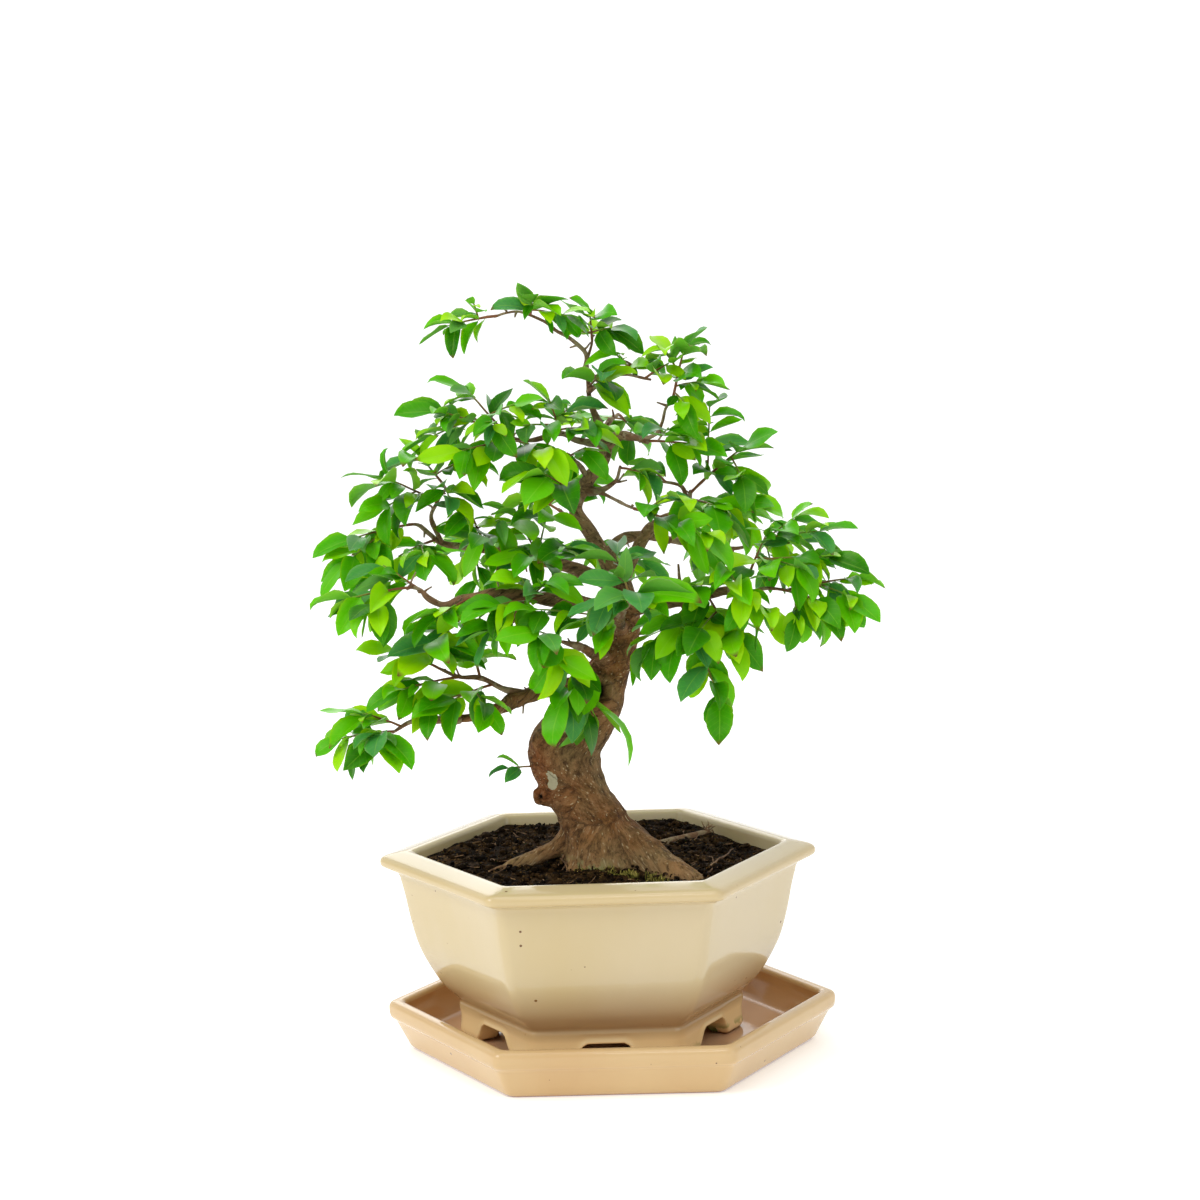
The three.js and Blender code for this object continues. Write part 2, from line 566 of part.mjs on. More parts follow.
// The limbs as smooth curves with a radius at any place along them.
const limbs = { leader: { route: LEADER.map(toVector), radii: LEADER.map((point) => point[3]) } };
for (const [name, [from, to, ...points]] of Object.entries(LIMBS)) {
  const last = points.length - 1;
  const radii = points.map((point, i) => from + (to - from) * i / last);
  limbs[name] = { route: points.map(toVector), radii };
}
for (const limb of Object.values(limbs)) {
  limb.curve = new THREE.CatmullRomCurve3(limb.route, false, 'catmullrom', 0.5);
}

// How many sides a limb has: the thicker it is, the more it needs to look round.
function limbSides(name, radii) {
  if (name === 'leader') return 9;
  return radii[0] > 6 ? 5 : 4;
}

// Trunk, roots and limbs grown together as one piece of wood.
function buildWood(grow) {
  const solids = Object.entries(limbs).map(([name, { route, radii }]) => (
    tube(route, radii, limbSides(name, radii), grow)
  ));
  for (const root of Object.values(ROOTS)) {
    solids.push(tube(root.map(toVector), root.map((point) => point[3]), 6, grow));
  }
  return wasm.Manifold.union(solids);
}

// A repeatable draw between 0 and 1.
let state = SEED;
function draw() {
  state = (Math.imul(state, 1664525) + 1013904223) >>> 0;
  return state / 4294967296;
}

// Half the blade's width at a place t along it, as a share of its full half width.
function outline(t) {
  const i = Math.max(LEAF_STATIONS.findIndex((station) => station >= t), 1);
  const share = (t - LEAF_STATIONS[i - 1]) / (LEAF_STATIONS[i] - LEAF_STATIONS[i - 1]);
  return LEAF_OUTLINE[i - 1] + (LEAF_OUTLINE[i] - LEAF_OUTLINE[i - 1]) * share;
}

// A place on a blade. Its midrib bends down in an arc of `curl` radians, t runs from
// the base to the tip, q from the left edge (-1) to the right edge (1), and `lift` is
// the height over the midrib.
function onLeaf(leaf, t, q, lift) {
  const bend = leaf.curl * t;
  const reach = leaf.length / leaf.curl;
  const half = 0.5 * leaf.width * outline(t) * q;
  const up = leaf.normal.clone().multiplyScalar(Math.cos(bend));
  up.addScaledVector(leaf.axis, Math.sin(bend));
  const point = leaf.base.clone();
  point.addScaledVector(leaf.axis, reach * Math.sin(bend));
  point.addScaledVector(leaf.normal, -reach * (1 - Math.cos(bend)));
  point.addScaledVector(leaf.side, half);
  return point.addScaledVector(up, lift);
}

// A blade: a thin three-sided body with a flat top and a keel under the midrib.
function blade(leaf) {
  const last = LEAF_STATIONS.length - 1;
  const geometry = new THREE.CylinderGeometry(0, 1, 1, 3, last);
  const position = geometry.getAttribute('position');
  for (let i = 0; i < position.count; i += 1) {
    const station = Math.round((position.getY(i) + 0.5) * last);
    const t = LEAF_STATIONS[station];
    const reach = station % last === 0 ? 0 : Math.hypot(position.getX(i), position.getZ(i));
    const corner = Math.round(Math.atan2(position.getX(i), position.getZ(i)) * 1.5 / Math.PI);
    let point;
    if (reach < 0.1) point = onLeaf(leaf, t, 0, 0);
    else if (corner === 0) point = onLeaf(leaf, t, 0, -LEAF_KEEL * LEAF_BODY[station]);
    else point = onLeaf(leaf, t, corner, LEAF_TOP * LEAF_BODY[station]);
    position.setXYZ(i, point.x, point.y, point.z);
  }
  return toSolid(geometry);
}

// Where the shoots run: a plain arc from the parent to the tip.
function planShoots() {
  const shoots = [];
  Object.entries(SPRAYS).forEach(([name, rows], spray) => {
    let main = null;
    for (const [parent, at, tip, pairs, size, droop] of rows) {
      const curve = parent === 'own' ? main : limbs[parent].curve;
      const start = curve.getPoint(at);
      const end = toVector(tip);
      const middle = start.clone().add(end).multiplyScalar(0.5);
      middle.z += 0.05 * start.distanceTo(end);
      const arc = new THREE.QuadraticBezierCurve3(start, middle, end);
      const length = start.distanceTo(end);
      main = main ?? arc;
      const path = arc.getPoints(Math.max(1, Math.round(length / STEM_STEP)));
      const first = parent !== 'own';
      const alone = rows.length === 1;
      shoots.push({ spray, arc, path, length, pairs, size, droop, first, alone });
    }
  });
  return shoots;
}

// A place on a shoot's stem, which runs straight from point to point of its path.
function onStem(path, u) {
  const place = u * (path.length - 1);
  const i = Math.min(Math.floor(place), path.length - 2);
  return path[i].clone().lerp(path[i + 1], place - i);
}

// One try at a leaf of pair `i`, on side -1 or 1, or 0 for the leaf at the tip.
// Pairs stand crosswise, and each try turns the leaf further round the shoot.
function tryLeaf(shoot, i, side, turn, draws, again) {
  const last = i === shoot.pairs;
  const u = last ? 1 : (shoot.pairs === 1 ? 0.8 : 0.38 + 0.47 * i / (shoot.pairs - 1));
  const along = shoot.arc.getTangent(u);
  const level = new THREE.Vector3(along.y, -along.x, 0);
  if (level.length() < 0.25) level.set(1, 0, 0).addScaledVector(along, -along.x);
  level.normalize();
  const rise = level.clone().cross(along);
  const tries = [0, 0.45, -0.45, 0.9, -0.9, 1.3, -1.3];
  const round = (i % 2 === 0 ? 0.15 : 0.6) + turn + 0.5 * (draws[0] - 0.5) + tries[again];
  const spread = last ? 0.15 + 0.2 * draws[1] : 0.85 + 0.5 * (draws[1] - 0.5);
  const way = side === 0 ? 1 : side;
  const axis = along.clone().multiplyScalar(Math.cos(spread));
  axis.addScaledVector(level, Math.sin(spread) * Math.cos(round) * way);
  axis.addScaledVector(rise, Math.sin(spread) * Math.sin(round) * way);
  axis.y -= 0.1;
  axis.z -= 0.5 * shoot.droop ** 2 + 0.6 * (draws[2] - 0.5) + 0.03 * again;
  axis.normalize();
  axis.z = Math.min(axis.z, 0.4 - 0.7 * shoot.droop);
  axis.normalize();
  const normal = new THREE.Vector3(1.5 * (draws[3] - 0.5), 1.6 * (draws[4] - 0.5) - 0.4, 1);
  normal.addScaledVector(axis, -normal.dot(axis));
  if (normal.length() < 0.3) normal.copy(along).addScaledVector(axis, -along.dot(axis));
  normal.normalize();
  const outer = i >= shoot.pairs - 1;
  const length = (LEAF_LENGTH + 5 * (draws[5] - 0.5)) * shoot.size * (outer ? 0.94 : 1);
  return {
    base: onStem(shoot.path, u).addScaledVector(axis, last ? -LEAF_TIP_SUNK : 0),
    axis,
    normal,
    side: axis.clone().cross(normal),
    length,
    width: length * (LEAF_WIDTH + 0.1 * (draws[6] - 0.5)),
    curl: 0.15 + 0.6 * draws[7],
  };
}

// Points over a blade, for keeping it clear of its neighbours.
function overLeaf(leaf) {
  const points = [];
  for (const t of [0.2, 0.4, 0.6, 0.8, 1]) {
    for (const q of [-1, -0.5, 0, 0.5, 1]) {
      points.push(onLeaf(leaf, t, q, 0));
    }
  }
  return points;
}

// Grows every leaf in turn. A leaf that would come too near to wood, to a shoot or to
// another leaf is turned round its shoot, and is left out if it finds no free place.
function growLeaves(shoots) {
  const wood = [];
  for (const limb of Object.values(limbs)) {
    const steps = 2 * (limb.route.length - 1);
    for (let i = 0; i <= steps; i += 1) {
      const radius = 0.5 * (limb.radii[Math.floor(i / 2)] + limb.radii[Math.ceil(i / 2)]);
      wood.push({ point: limb.curve.getPoint(i / steps), clear: radius + CLEAR_WOOD, spray: -1 });
    }
  }
  const stems = [];
  for (const shoot of shoots) {
    for (let i = 2; i <= 10; i += 1) {
      stems.push({ point: shoot.arc.getPoint(i / 10), shoot });
    }
  }
  const grown = [];
  const near = (points, other, clear) => (
    points.some((point) => point.distanceToSquared(other) < clear * clear)
  );
  const isClear = (points, reach, shoot) => {
    const outer = points.slice(5);
    if (wood.some(({ point, clear }) => near(points, point, clear))) return false;
    if (stems.some((stem) => {
      if (stem.shoot === shoot) return near(outer, stem.point, CLEAR_STEM);
      return near(points, stem.point, stem.shoot.spray === shoot.spray ? CLEAR_STEM : CLEAR_OTHER);
    })) return false;
    return grown.every((other) => {
      if (other.points[12].distanceTo(points[12]) > 0.75 * (reach + other.leaf.length)) return true;
      const clear = other.spray === shoot.spray ? CLEAR_OWN : CLEAR_OTHER;
      return !other.points.some((point) => near(points, point, clear));
    });
  };
  for (const shoot of shoots) {
    const turn = 0.6 * (draw() - 0.5);
    for (let i = shoot.pairs; i >= 0; i -= 1) {
      for (const side of i === shoot.pairs ? [0] : [-1, 1]) {
        const draws = Array.from({ length: 8 }, draw);
        for (let again = 0; again < 7; again += 1) {
          const leaf = tryLeaf(shoot, i, side, turn, draws, again);
          const points = overLeaf(leaf);
          if (isClear(points, leaf.length, shoot)) {
            const least = shoot.size * (i >= shoot.pairs - 1 ? OUTER_LEAST : INNER_LEAST);
            const large = shoot.alone || leaf.length >= Math.min(least, LARGE_LEAF);
            grown.push({ leaf, spray: shoot.spray, large, points });
            break;
          }
        }
      }
    }
  }
  return grown;
}

// A shoot's stem: a slim tube that thickens with the shoot's length.
function stemTube({ path, length, first }) {
  const foot = first ? 0.8 + 0.012 * length : 0.7;
  const radii = path.map((point, i) => foot + (STEM_TIP - foot) * i / (path.length - 1));
  return tube(path, radii, 3, 0);
}

const wood = buildWood(0);
const woodRoom = buildWood(GAP);
addNode('saucer', buildSaucer(), materials.saucer);
addNode('pot', buildPot(), materials.pot);
addNode('drain_net', buildDrainNet(), materials.net);
addNode('soil', buildSoil(woodRoom), materials.soil);
addNode('trunk', wood, materials.bark);

const shoots = planShoots();
const grown = growLeaves(shoots);
Object.keys(SPRAYS).forEach((name, spray) => {
  const stems = shoots.filter((shoot) => shoot.spray === spray).map(stemTube);
  const leaves = grown.filter((entry) => entry.spray === spray && entry.large);
  const blades = leaves.map(({ leaf }) => blade(leaf));
  const whole = wasm.Manifold.union([...stems, ...blades]).subtract(woodRoom);
  addNode(`spray_${name}`, largestBody(whole), materials.leaf);
});

export default group;
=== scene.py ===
# Syzygium bonsai in a hexagonal glazed pot, standing in its saucer.
# Lengths in the formulas are millimetres, and MM turns them to metres when a mesh is made.
import math
import bmesh
import bpy
import numpy as np
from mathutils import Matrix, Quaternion, Vector
from mathutils.kdtree import KDTree


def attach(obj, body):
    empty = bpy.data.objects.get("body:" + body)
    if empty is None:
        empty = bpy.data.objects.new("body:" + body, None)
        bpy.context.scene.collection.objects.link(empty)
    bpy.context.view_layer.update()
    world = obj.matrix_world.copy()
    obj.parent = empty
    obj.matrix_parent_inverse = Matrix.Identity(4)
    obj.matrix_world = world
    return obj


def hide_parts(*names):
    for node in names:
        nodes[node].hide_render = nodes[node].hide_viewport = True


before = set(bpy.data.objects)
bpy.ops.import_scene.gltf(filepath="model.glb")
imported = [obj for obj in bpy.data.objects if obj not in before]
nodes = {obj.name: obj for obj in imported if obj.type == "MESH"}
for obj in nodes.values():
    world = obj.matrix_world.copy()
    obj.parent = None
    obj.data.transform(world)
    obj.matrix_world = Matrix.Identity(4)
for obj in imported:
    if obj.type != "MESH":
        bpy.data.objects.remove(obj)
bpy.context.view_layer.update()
MM = 0.001


# Saucer: a hexagonal stoneware tray that catches the drained water. It was slip-cast,
# dipped in a clear tan glaze and fired on its wiped, unglazed foot.
def linear(colour):
    """An sRGB hex colour as linear RGBA, by the sRGB transfer curve."""
    parts = [int(colour[i:i + 2], 16) / 255 for i in (1, 3, 5)]
    curve = [c / 12.92 if c <= 0.04045 else ((c + 0.055) / 1.055) ** 2.4 for c in parts]
    return (*curve, 1.0)


def set_inputs(tree, node, inputs):
    """Sets a node's inputs: each value is a number, a colour or another node's socket."""
    for name, value in inputs.items():
        if isinstance(value, bpy.types.NodeSocket):
            tree.links.new(value, node.inputs[name])
        else:
            node.inputs[name].default_value = value


def add(tree, kind, inputs=None, **settings):
    """A new shader node with its settings and its inputs."""
    made = tree.nodes.new(kind)
    for name, value in settings.items():
        setattr(made, name, value)
    set_inputs(tree, made, inputs or {})
    return made


def start_material(name):
    """A new material, its node tree and its Principled shader."""
    material = bpy.data.materials.new(name)
    material.use_nodes = True
    return material, material.node_tree, material.node_tree.nodes["Principled BSDF"]


def calc(tree, operation, *values):
    """The result of one sum over numbers and sockets."""
    return add(tree, "ShaderNodeMath", dict(enumerate(values)), operation=operation).outputs[0]


def slope(tree, value, ends, levels=(0.0, 1.0)):
    """Runs from the first level to the second while the value runs between its two ends."""
    return add(tree, "ShaderNodeMapRange", {
        "Value": value, "From Min": ends[0], "From Max": ends[1],
        "To Min": levels[0], "To Max": levels[1]}).outputs["Result"]


def stored(tree, name, output="Fac"):
    """Numbers that the mesh keeps under a name."""
    return add(tree, "ShaderNodeAttribute", attribute_name=name).outputs[output]


def ramp(tree, value, stops):
    """A colour ramp over `value`, with hex colours or grey numbers at the given places."""
    made = add(tree, "ShaderNodeValToRGB", {"Fac": value})
    while len(made.color_ramp.elements) < len(stops):
        made.color_ramp.elements.new(1.0)
    for element, (place, colour) in zip(made.color_ramp.elements, stops):
        element.position = place
        element.color = linear(colour) if isinstance(colour, str) else (colour,) * 3 + (1,)
    return made.outputs["Color"]


def noise(tree, place, scale, detail=2.0, roughness=0.5):
    """Fractal noise from 0 to 1, with about `scale` waves in a metre."""
    return add(tree, "ShaderNodeTexNoise", {
        "Vector": place, "Scale": scale, "Detail": detail, "Roughness": roughness}).outputs["Fac"]


def spots(tree, place, size, share, detail=2.0, soft=0.04):
    """Noise in patches about `size` mm across that covers about `share` of the surface."""
    edge = 0.5 + 0.16 * (0.5 - share) * 2
    return ramp(tree, noise(tree, place, 0.6 / (size * MM), detail),
                [(edge - soft, 0.0), (edge + soft, 1.0)])


def cells(tree, place, size):
    """Cells about `size` mm across: how far a place is from the middle of its cell, and a
    number by chance for each cell."""
    made = add(tree, "ShaderNodeTexVoronoi", {"Vector": place, "Scale": 1 / (size * MM)})
    luck = add(tree, "ShaderNodeSeparateColor", {"Color": made.outputs["Color"]})
    return made.outputs["Distance"], luck.outputs[0]


def relief(tree, height, strength, depth, **settings):
    """A shading normal tilted by a height map that is `depth` mm deep."""
    return add(tree, "ShaderNodeBump", {
        "Strength": strength, "Distance": depth * MM, "Height": height}, **settings).outputs[0]


def coats(tree, colour, *over):
    """A colour with others laid over it in turn, each by its own share from 0 to 1."""
    for share, tint in over:
        under, tint = (linear(c) if isinstance(c, str) else c for c in (colour, tint))
        made = add(tree, "ShaderNodeMix", {0: share, 6: under, 7: tint}, data_type="RGBA")
        colour = made.outputs[2]
    return colour


def read(items, field, width=3, kind=float):
    """A field of a mesh's points, corners or edges, as the rows of an array."""
    values = np.zeros(len(items) * width, kind)
    items.foreach_get(field, values)
    return values.reshape(-1, width)


def make_piece(name, points, faces, material, uv=None, marks=None, sharp=None):
    """A mesh object from points in mm and faces, with an optional UV for each point,
    named numbers for each point or face, and sharp edges as pairs of points. Points that
    fall together, such as those at a pole, become one."""
    mesh = bpy.data.meshes.new(name)
    mesh.from_pydata((points * MM).tolist(), [], faces.tolist())
    mesh.update()
    for key, values in (marks or {}).items():
        domain = "POINT" if len(values) == len(points) else "FACE"
        kind, field = ("FLOAT_VECTOR", "vector") if values.ndim == 2 else ("FLOAT", "value")
        mesh.attributes.new(key, kind, domain).data.foreach_set(field, values.ravel())
    if uv is not None:
        corner = read(mesh.loops, "vertex_index", 1, np.int32).ravel()
        mesh.uv_layers.new(name="UVMap").data.foreach_set("uv", uv[corner].ravel())
    mesh.polygons.foreach_set("use_smooth", np.ones(len(mesh.polygons), bool))
    if sharp is not None:
        ends = read(mesh.edges, "vertices", 2, np.int32)
        keys = np.sort(ends, axis=1) @ [len(points), 1]
        flags = np.isin(keys, np.sort(sharp, axis=1) @ [len(points), 1])
        mesh.attributes.new("sharp_edge", "BOOLEAN", "EDGE").data.foreach_set("value", flags)
    welded = bmesh.new()
    welded.from_mesh(mesh)
    bmesh.ops.remove_doubles(welded, verts=welded.verts, dist=0.001 * MM)
    welded.to_mesh(mesh)
    welded.free()
    mesh.materials.append(material)
    piece = bpy.data.objects.new(name, mesh)
    bpy.context.scene.collection.objects.link(piece)
    return piece


def grid_faces(rows, columns, closed):
    """Quads over a grid of points, row by row, joined round each row where it is closed."""
    a = np.arange(rows * columns).reshape(rows, columns)
    right = np.roll(a, -1, axis=1) if closed else a[:, 1:]
    a = a if closed else a[:, :-1]
    return np.stack([a[:-1], right[:-1], right[1:], a[1:]], axis=-1).reshape(-1, 4)


def fillet(corners, steps=4):
    """A profile of [radius, height, rounding] corners with each corner rounded: a
    quadratic curve from `rounding` before the corner to `rounding` after it."""
    p = np.array(corners, float)
    t = np.linspace(0, 1, steps + 1)[:, None]
    line = [p[:1, :2]]
    for before, here, after in zip(p[:-2], p[1:-1], p[2:]):
        back, on = before[:2] - here[:2], after[:2] - here[:2]
        far = np.hypot(*back), np.hypot(*on)
        a = here[:2] + back / far[0] * min(here[2], 0.5 * far[0])
        b = here[:2] + on / far[1] * min(here[2], 0.5 * far[1])
        line.append((1 - t) ** 2 * a + 2 * t * (1 - t) * here[:2] + t ** 2 * b)
    return np.vstack([*line, p[-1:, :2]])


def hexagon(radius, rounding, turn, centre_x, arc=5, side=12):
    """Loops of a hexagon with rounded corners, one for each radius: for each corner an
    arc of `arc` points about a centre `rounding` inside its tip, then a straight side.
    Also gives each point's distance from the middle of its side."""
    radius = np.asarray(radius, float)[:, None]
    rounding = np.minimum(np.reshape(rounding, (-1, 1)), radius)
    corner = np.arange(6)[:, None] * math.pi / 3 + turn
    swing = np.linspace(-1, 1, arc) * math.pi / 6
    loops = []
    for axis in (np.cos, np.sin):
        tip = axis(corner)[None] * (radius - rounding)[..., None]
        bow = tip + rounding[..., None] * axis(corner + swing)[None]
        share = np.linspace(0, 1, side + 2)[1:-1]
        start, end = bow[:, :, -1:], np.roll(bow[:, :, :1], -1, axis=1)
        loops.append(np.concatenate([bow, start + (end - start) * share], axis=2))
    x, y = (loop.reshape(len(radius), -1) for loop in loops)
    middle = (np.arange(6) + 0.5) * math.pi / 3 + turn
    angle = np.arctan2(y, x)
    nearest = np.argmax(np.cos(angle[..., None] - middle), axis=-1)
    along = y * np.cos(middle[nearest]) - x * np.sin(middle[nearest])
    return x + centre_x, y, along


def glaze(name, thick, thin, dark, bare_below=None):
    """A stoneware glaze: `thick` where it pools, `thin` in drifting streaks, `dark` iron
    specks, and bare clay under a height where one is given."""
    material, tree, shader = start_material(name)
    coords = add(tree, "ShaderNodeTexCoord").outputs["Object"]
    streaks = add(tree, "ShaderNodeMapping", {"Vector": coords, "Scale": (1.0, 1.0, 0.35)})
    drift = spots(tree, streaks.outputs[0], 60, 0.5, 5.0, 0.12)
    # Few cells hold a speck of any size: its reach grows with a high power of their luck.
    off, luck = cells(tree, coords, 7)
    reach = calc(tree, "MULTIPLY", calc(tree, "POWER", luck, 8.0), 0.13)
    speck = calc(tree, "LESS_THAN", off, reach)
    colour = coats(tree, thick, (drift, thin), (speck, dark))
    height = add(tree, "ShaderNodeSeparateXYZ", {"Vector": coords}).outputs["Z"]
    if bare_below:
        clay = slope(tree, height, (bare_below * MM, (bare_below + 0.4) * MM), (1.0, 0.0))
        colour = coats(tree, colour, (clay, "#97664a"))
    rough = slope(tree, spots(tree, coords, 12, 0.4), (0.0, 1.0), (0.08, 0.13))
    set_inputs(tree, shader, {
        "Roughness": rough, "Normal": relief(tree, noise(tree, coords, 180.0), 0.06, 0.4),
        "IOR": 1.5})
    return material, tree, shader, colour, coords, height


SAUCER_CORNER = 128.9
SAUCER_TURN = math.radians(0.45)
SAUCER_FLOOR = 8.3
saucer_edge = fillet([
    [0, 0, 0], [SAUCER_CORNER - 14.5, 0, 1], [SAUCER_CORNER - 11.9, 2, 1.2],
    [SAUCER_CORNER - 3.7, 17.4, 2], [SAUCER_CORNER - 0.2, 19.6, 3],
    [SAUCER_CORNER + 0.3, 28.2, 4.2], [SAUCER_CORNER - 9, 29, 4.2],
    [SAUCER_CORNER - 9.8, 22.5, 3], [SAUCER_CORNER - 14.6, 9.6, 2.5],
    [SAUCER_CORNER - 18, SAUCER_FLOOR, 2.5], [0, SAUCER_FLOOR, 0],
], steps=6)
x, y, _ = hexagon(saucer_edge[:, 0], 7, SAUCER_TURN, 0)
z = np.broadcast_to(saucer_edge[:, 1:], x.shape)
clay_glaze, tree, shader, colour, _, height = glaze(
    "tan_stoneware_glaze", "#c5a474", "#ccaf80", "#4a3020", bare_below=0.6)
# The inside of the tray is a pinker tan, and up its inner walls it turns darker brown: painted
# shade on the walls.
inside_tan_and_wall_shade = coats(tree, "#d0a983", (slope(tree, height, (0.009, 0.022)), "#b98c5c"))
colour = coats(tree, colour, (stored(tree, "inside"), inside_tan_and_wall_shade))
set_inputs(tree, shader, {"Base Color": colour})
inner = np.clip((np.arange(len(saucer_edge)) - np.argmax(saucer_edge[:, 1]) - 3) / 3, 0, 1)
saucer = make_piece(
    "saucer_body", np.stack([x, y, z], -1).reshape(-1, 3), grid_faces(*x.shape, True),
    clay_glaze, marks={"inside": np.repeat(inner, x.shape[1])})
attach(saucer, "root")
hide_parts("saucer")


# Pot: a slip-cast stoneware hexagon under a cream glaze. It stands on six corner feet,
# joined by low arches, and its lip slopes out all round like a small roof.
def catmull(points, u):
    """Places at shares u of a curve through the points: each stretch is a cubic, and its
    slope at a point is half the step between the two neighbours of that point."""
    p = np.asarray(points, float)
    p = np.vstack([2 * p[0] - p[1], p, 2 * p[-1] - p[-2]])
    place = np.asarray(u, float) * (len(p) - 3)
    i = np.minimum(place.astype(int), len(p) - 4)
    w = (place - i)[:, None]
    before, a, b, after = (p[i + k] for k in range(4))
    leave, arrive = 0.5 * (b - before), 0.5 * (after - a)
    return (a + leave * w + (3 * (b - a) - 2 * leave - arrive) * w ** 2
            + (2 * (a - b) + leave + arrive) * w ** 3)


POT_X = -6.3
POT_TURN = math.radians(1.8)
POT_CORNER = 125.0
POT_FOOT = 8.6
BASE_UNDER = 27.0
ARCH_HALF = 16.5
ARCH_HEIGHT = 11.7
foot_edge = fillet([
    [0, BASE_UNDER, 0], [64, BASE_UNDER, 3], [66, POT_FOOT, 3], [82.6, POT_FOOT, 6],
    [80.6, 18, 5], [82.2, BASE_UNDER - 0.6, 2], [80.9, BASE_UNDER + 1.8, 1.4], [83, 31, 1],
], steps=6)
wall_edge = catmull([[83, 31], [91.5, 39.3], [99, 51], [104.6, 63], [108.4, 77], [111.4, 92],
                     [114, 102.5]], np.linspace(0, 1, 34))
lip_edge = fillet([
    [114, 102.5, 0], [116.4, 106.8, 4], [POT_CORNER - 2, 107.8, 3], [POT_CORNER + 0.3, 110, 2.4],
    [POT_CORNER - 0.6, 114.2, 4.5], [POT_CORNER - 16.4, 117.4, 3.4], [POT_CORNER - 20, 115.8, 1.6],
    [104, 110, 2], [96, 65, 10], [82, 42, 12], [46, 36.5, 8], [0, 36.5, 0],
], steps=5)
pot_edge = np.vstack([foot_edge, wall_edge[1:-1], lip_edge])
rounding = np.interp(pot_edge[:, 1], [8, 20, 29, 60, 100, 117], [15, 11, 9, 8, 8, 6])
x, y, along = hexagon(pot_edge[:, 0], rounding, POT_TURN, POT_X, arc=7, side=22)
z = np.broadcast_to(pot_edge[:, 1:], x.shape).copy()
# The skirt between two feet is lifted: its height falls off in a smooth step at each end
# of the arch, and what lies between the base and the foot is squeezed up with it.
outer = np.arange(len(pot_edge))[:, None] < np.argmax(pot_edge[:, 1] > BASE_UNDER + 2)
step = np.clip((ARCH_HALF + 3 - np.abs(along)) / 8.5, 0, 1)
lift = ARCH_HEIGHT * step ** 2 * (3 - 2 * step) * outer
below = BASE_UNDER - z
z = np.where(z < BASE_UNDER, BASE_UNDER - below * (1 - lift / (BASE_UNDER - POT_FOOT)), z)
cream_glaze, tree, shader, colour, coords, height = glaze(
    "cream_stoneware_glaze", "#c4b186", "#c8b793", "#6a4a2c")
algae = spots(tree, coords, 5, 0.42)
sideways = add(tree, "ShaderNodeSeparateXYZ", {"Vector": coords}).outputs["X"]
algae = calc(tree, "MULTIPLY", algae, slope(tree, sideways, (0.03, 0.06)))
algae = calc(tree, "MULTIPLY", algae, slope(tree, height, (0.0113, 0.0163), (1.0, 0.0)))
# The wall turns darker brown towards the base, partly a brown tone in the glaze and partly painted
# shade with a painted reflection of the saucer. Under it a pale band is painted light on the
# shaded foot band. The glaze is thin and brown over the rim's edge, worn through under the feet,
# and green with algae at the right.
colour = coats(tree, colour,
               (slope(tree, height, (0.027, 0.058), (0.75, 0.0)), "#a98350"),
               (slope(tree, height, (0.0215, 0.0285), (0.85, 0.0)), "#f6dba2"),
               (stored(tree, "worn"), "#c6ae7c"),
               (slope(tree, height, (0.0086, 0.0108), (1.0, 0.0)), "#b98c57"),
               (algae, "#5f7a2c"))
set_inputs(tree, shader, {"Base Color": colour})
worn_at = np.interp(pot_edge[:, 0] + 0.35 * pot_edge[:, 1], [155, 164], [0, 0.55])
pot = make_piece(
    "pot_body", np.stack([x, y, z], -1).reshape(-1, 3), grid_faces(*x.shape, True),
    cream_glaze, marks={"worn": np.repeat(worn_at, x.shape[1])})
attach(pot, "root")
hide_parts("pot")


# Drain net: moulded plastic mesh over the drain hole, out of sight under the soil.
net_plastic, tree, shader = start_material("black_polypropylene_net")
coords = add(tree, "ShaderNodeTexCoord").outputs["Object"]
dust_and_sheen = spots(tree, coords, 4, 0.4)
colour = coats(tree, "#26272a", (dust_and_sheen, "#3d372f"))
set_inputs(tree, shader, {"Base Color": colour, "Roughness": 0.6})
nodes["drain_net"].data.materials.clear()
nodes["drain_net"].data.materials.append(net_plastic)


# Soil: dark peaty bonsai mix, clotted into crumbs by watering, highest round the trunk.
def jumble(cells, seed):
    """A repeatable number from -1 to 1 for each whole-number cell, by integer mixing."""
    h = cells.astype(np.uint64) @ np.array([73856093, 19349663, 83492791], np.uint64)
    h = (h + np.uint64(seed * 2654435761)) & np.uint64(0xFFFFFFFF)
    for shift, factor in ((15, 0x2C1B3C6D), (12, 0x297A2D39)):
        h ^= h >> np.uint64(shift)
        h = (h * np.uint64(factor)) & np.uint64(0xFFFFFFFF)
    h ^= h >> np.uint64(15)
    return h.astype(float) / 2147483648 - 1


def bumps(points, size, seed, octaves=1):
    """Smooth noise from -1 to 1: random numbers on a lattice of `size` mm, blended by a
    smooth step along each axis, with finer octaves of half the size and half the height."""
    total, height = 0.0, 1.0
    for octave in range(octaves):
        p = points / size * 2 ** octave + 500
        cell = np.floor(p).astype(np.int64)
        w = p - cell
        w = w * w * (3 - 2 * w)
        value = 0.0
        for corner in np.ndindex(2, 2, 2):
            weight = np.prod(np.where(corner, w, 1 - w), axis=1)
            value = value + weight * jumble(cell + corner, seed + octave)
        total = total + height * value
        height *= 0.5
    return total / (2 - 2 * height)


def shake(points, size, seed):
    """Smooth noise as a vector at each point."""
    return np.stack([bumps(points, size, seed + i) for i in range(3)], -1)


SOIL_LEVEL = 109.5
BED_RADIUS = 104.6
BED_RINGS = 78


def soil_height(x, y):
    """The ground: a mound round the trunk, a slow wave over it, and a heap at the back left."""
    mound = 4 * np.exp(-((x - 2) ** 2 + (y + 14) ** 2) / 1600)
    heap = 2.2 * np.clip((y - 0.8 * x + 10) / 60, 0, 1)
    return SOIL_LEVEL + mound + heap + 0.7 * np.sin(0.13 * x + 1) * np.cos(0.17 * y)


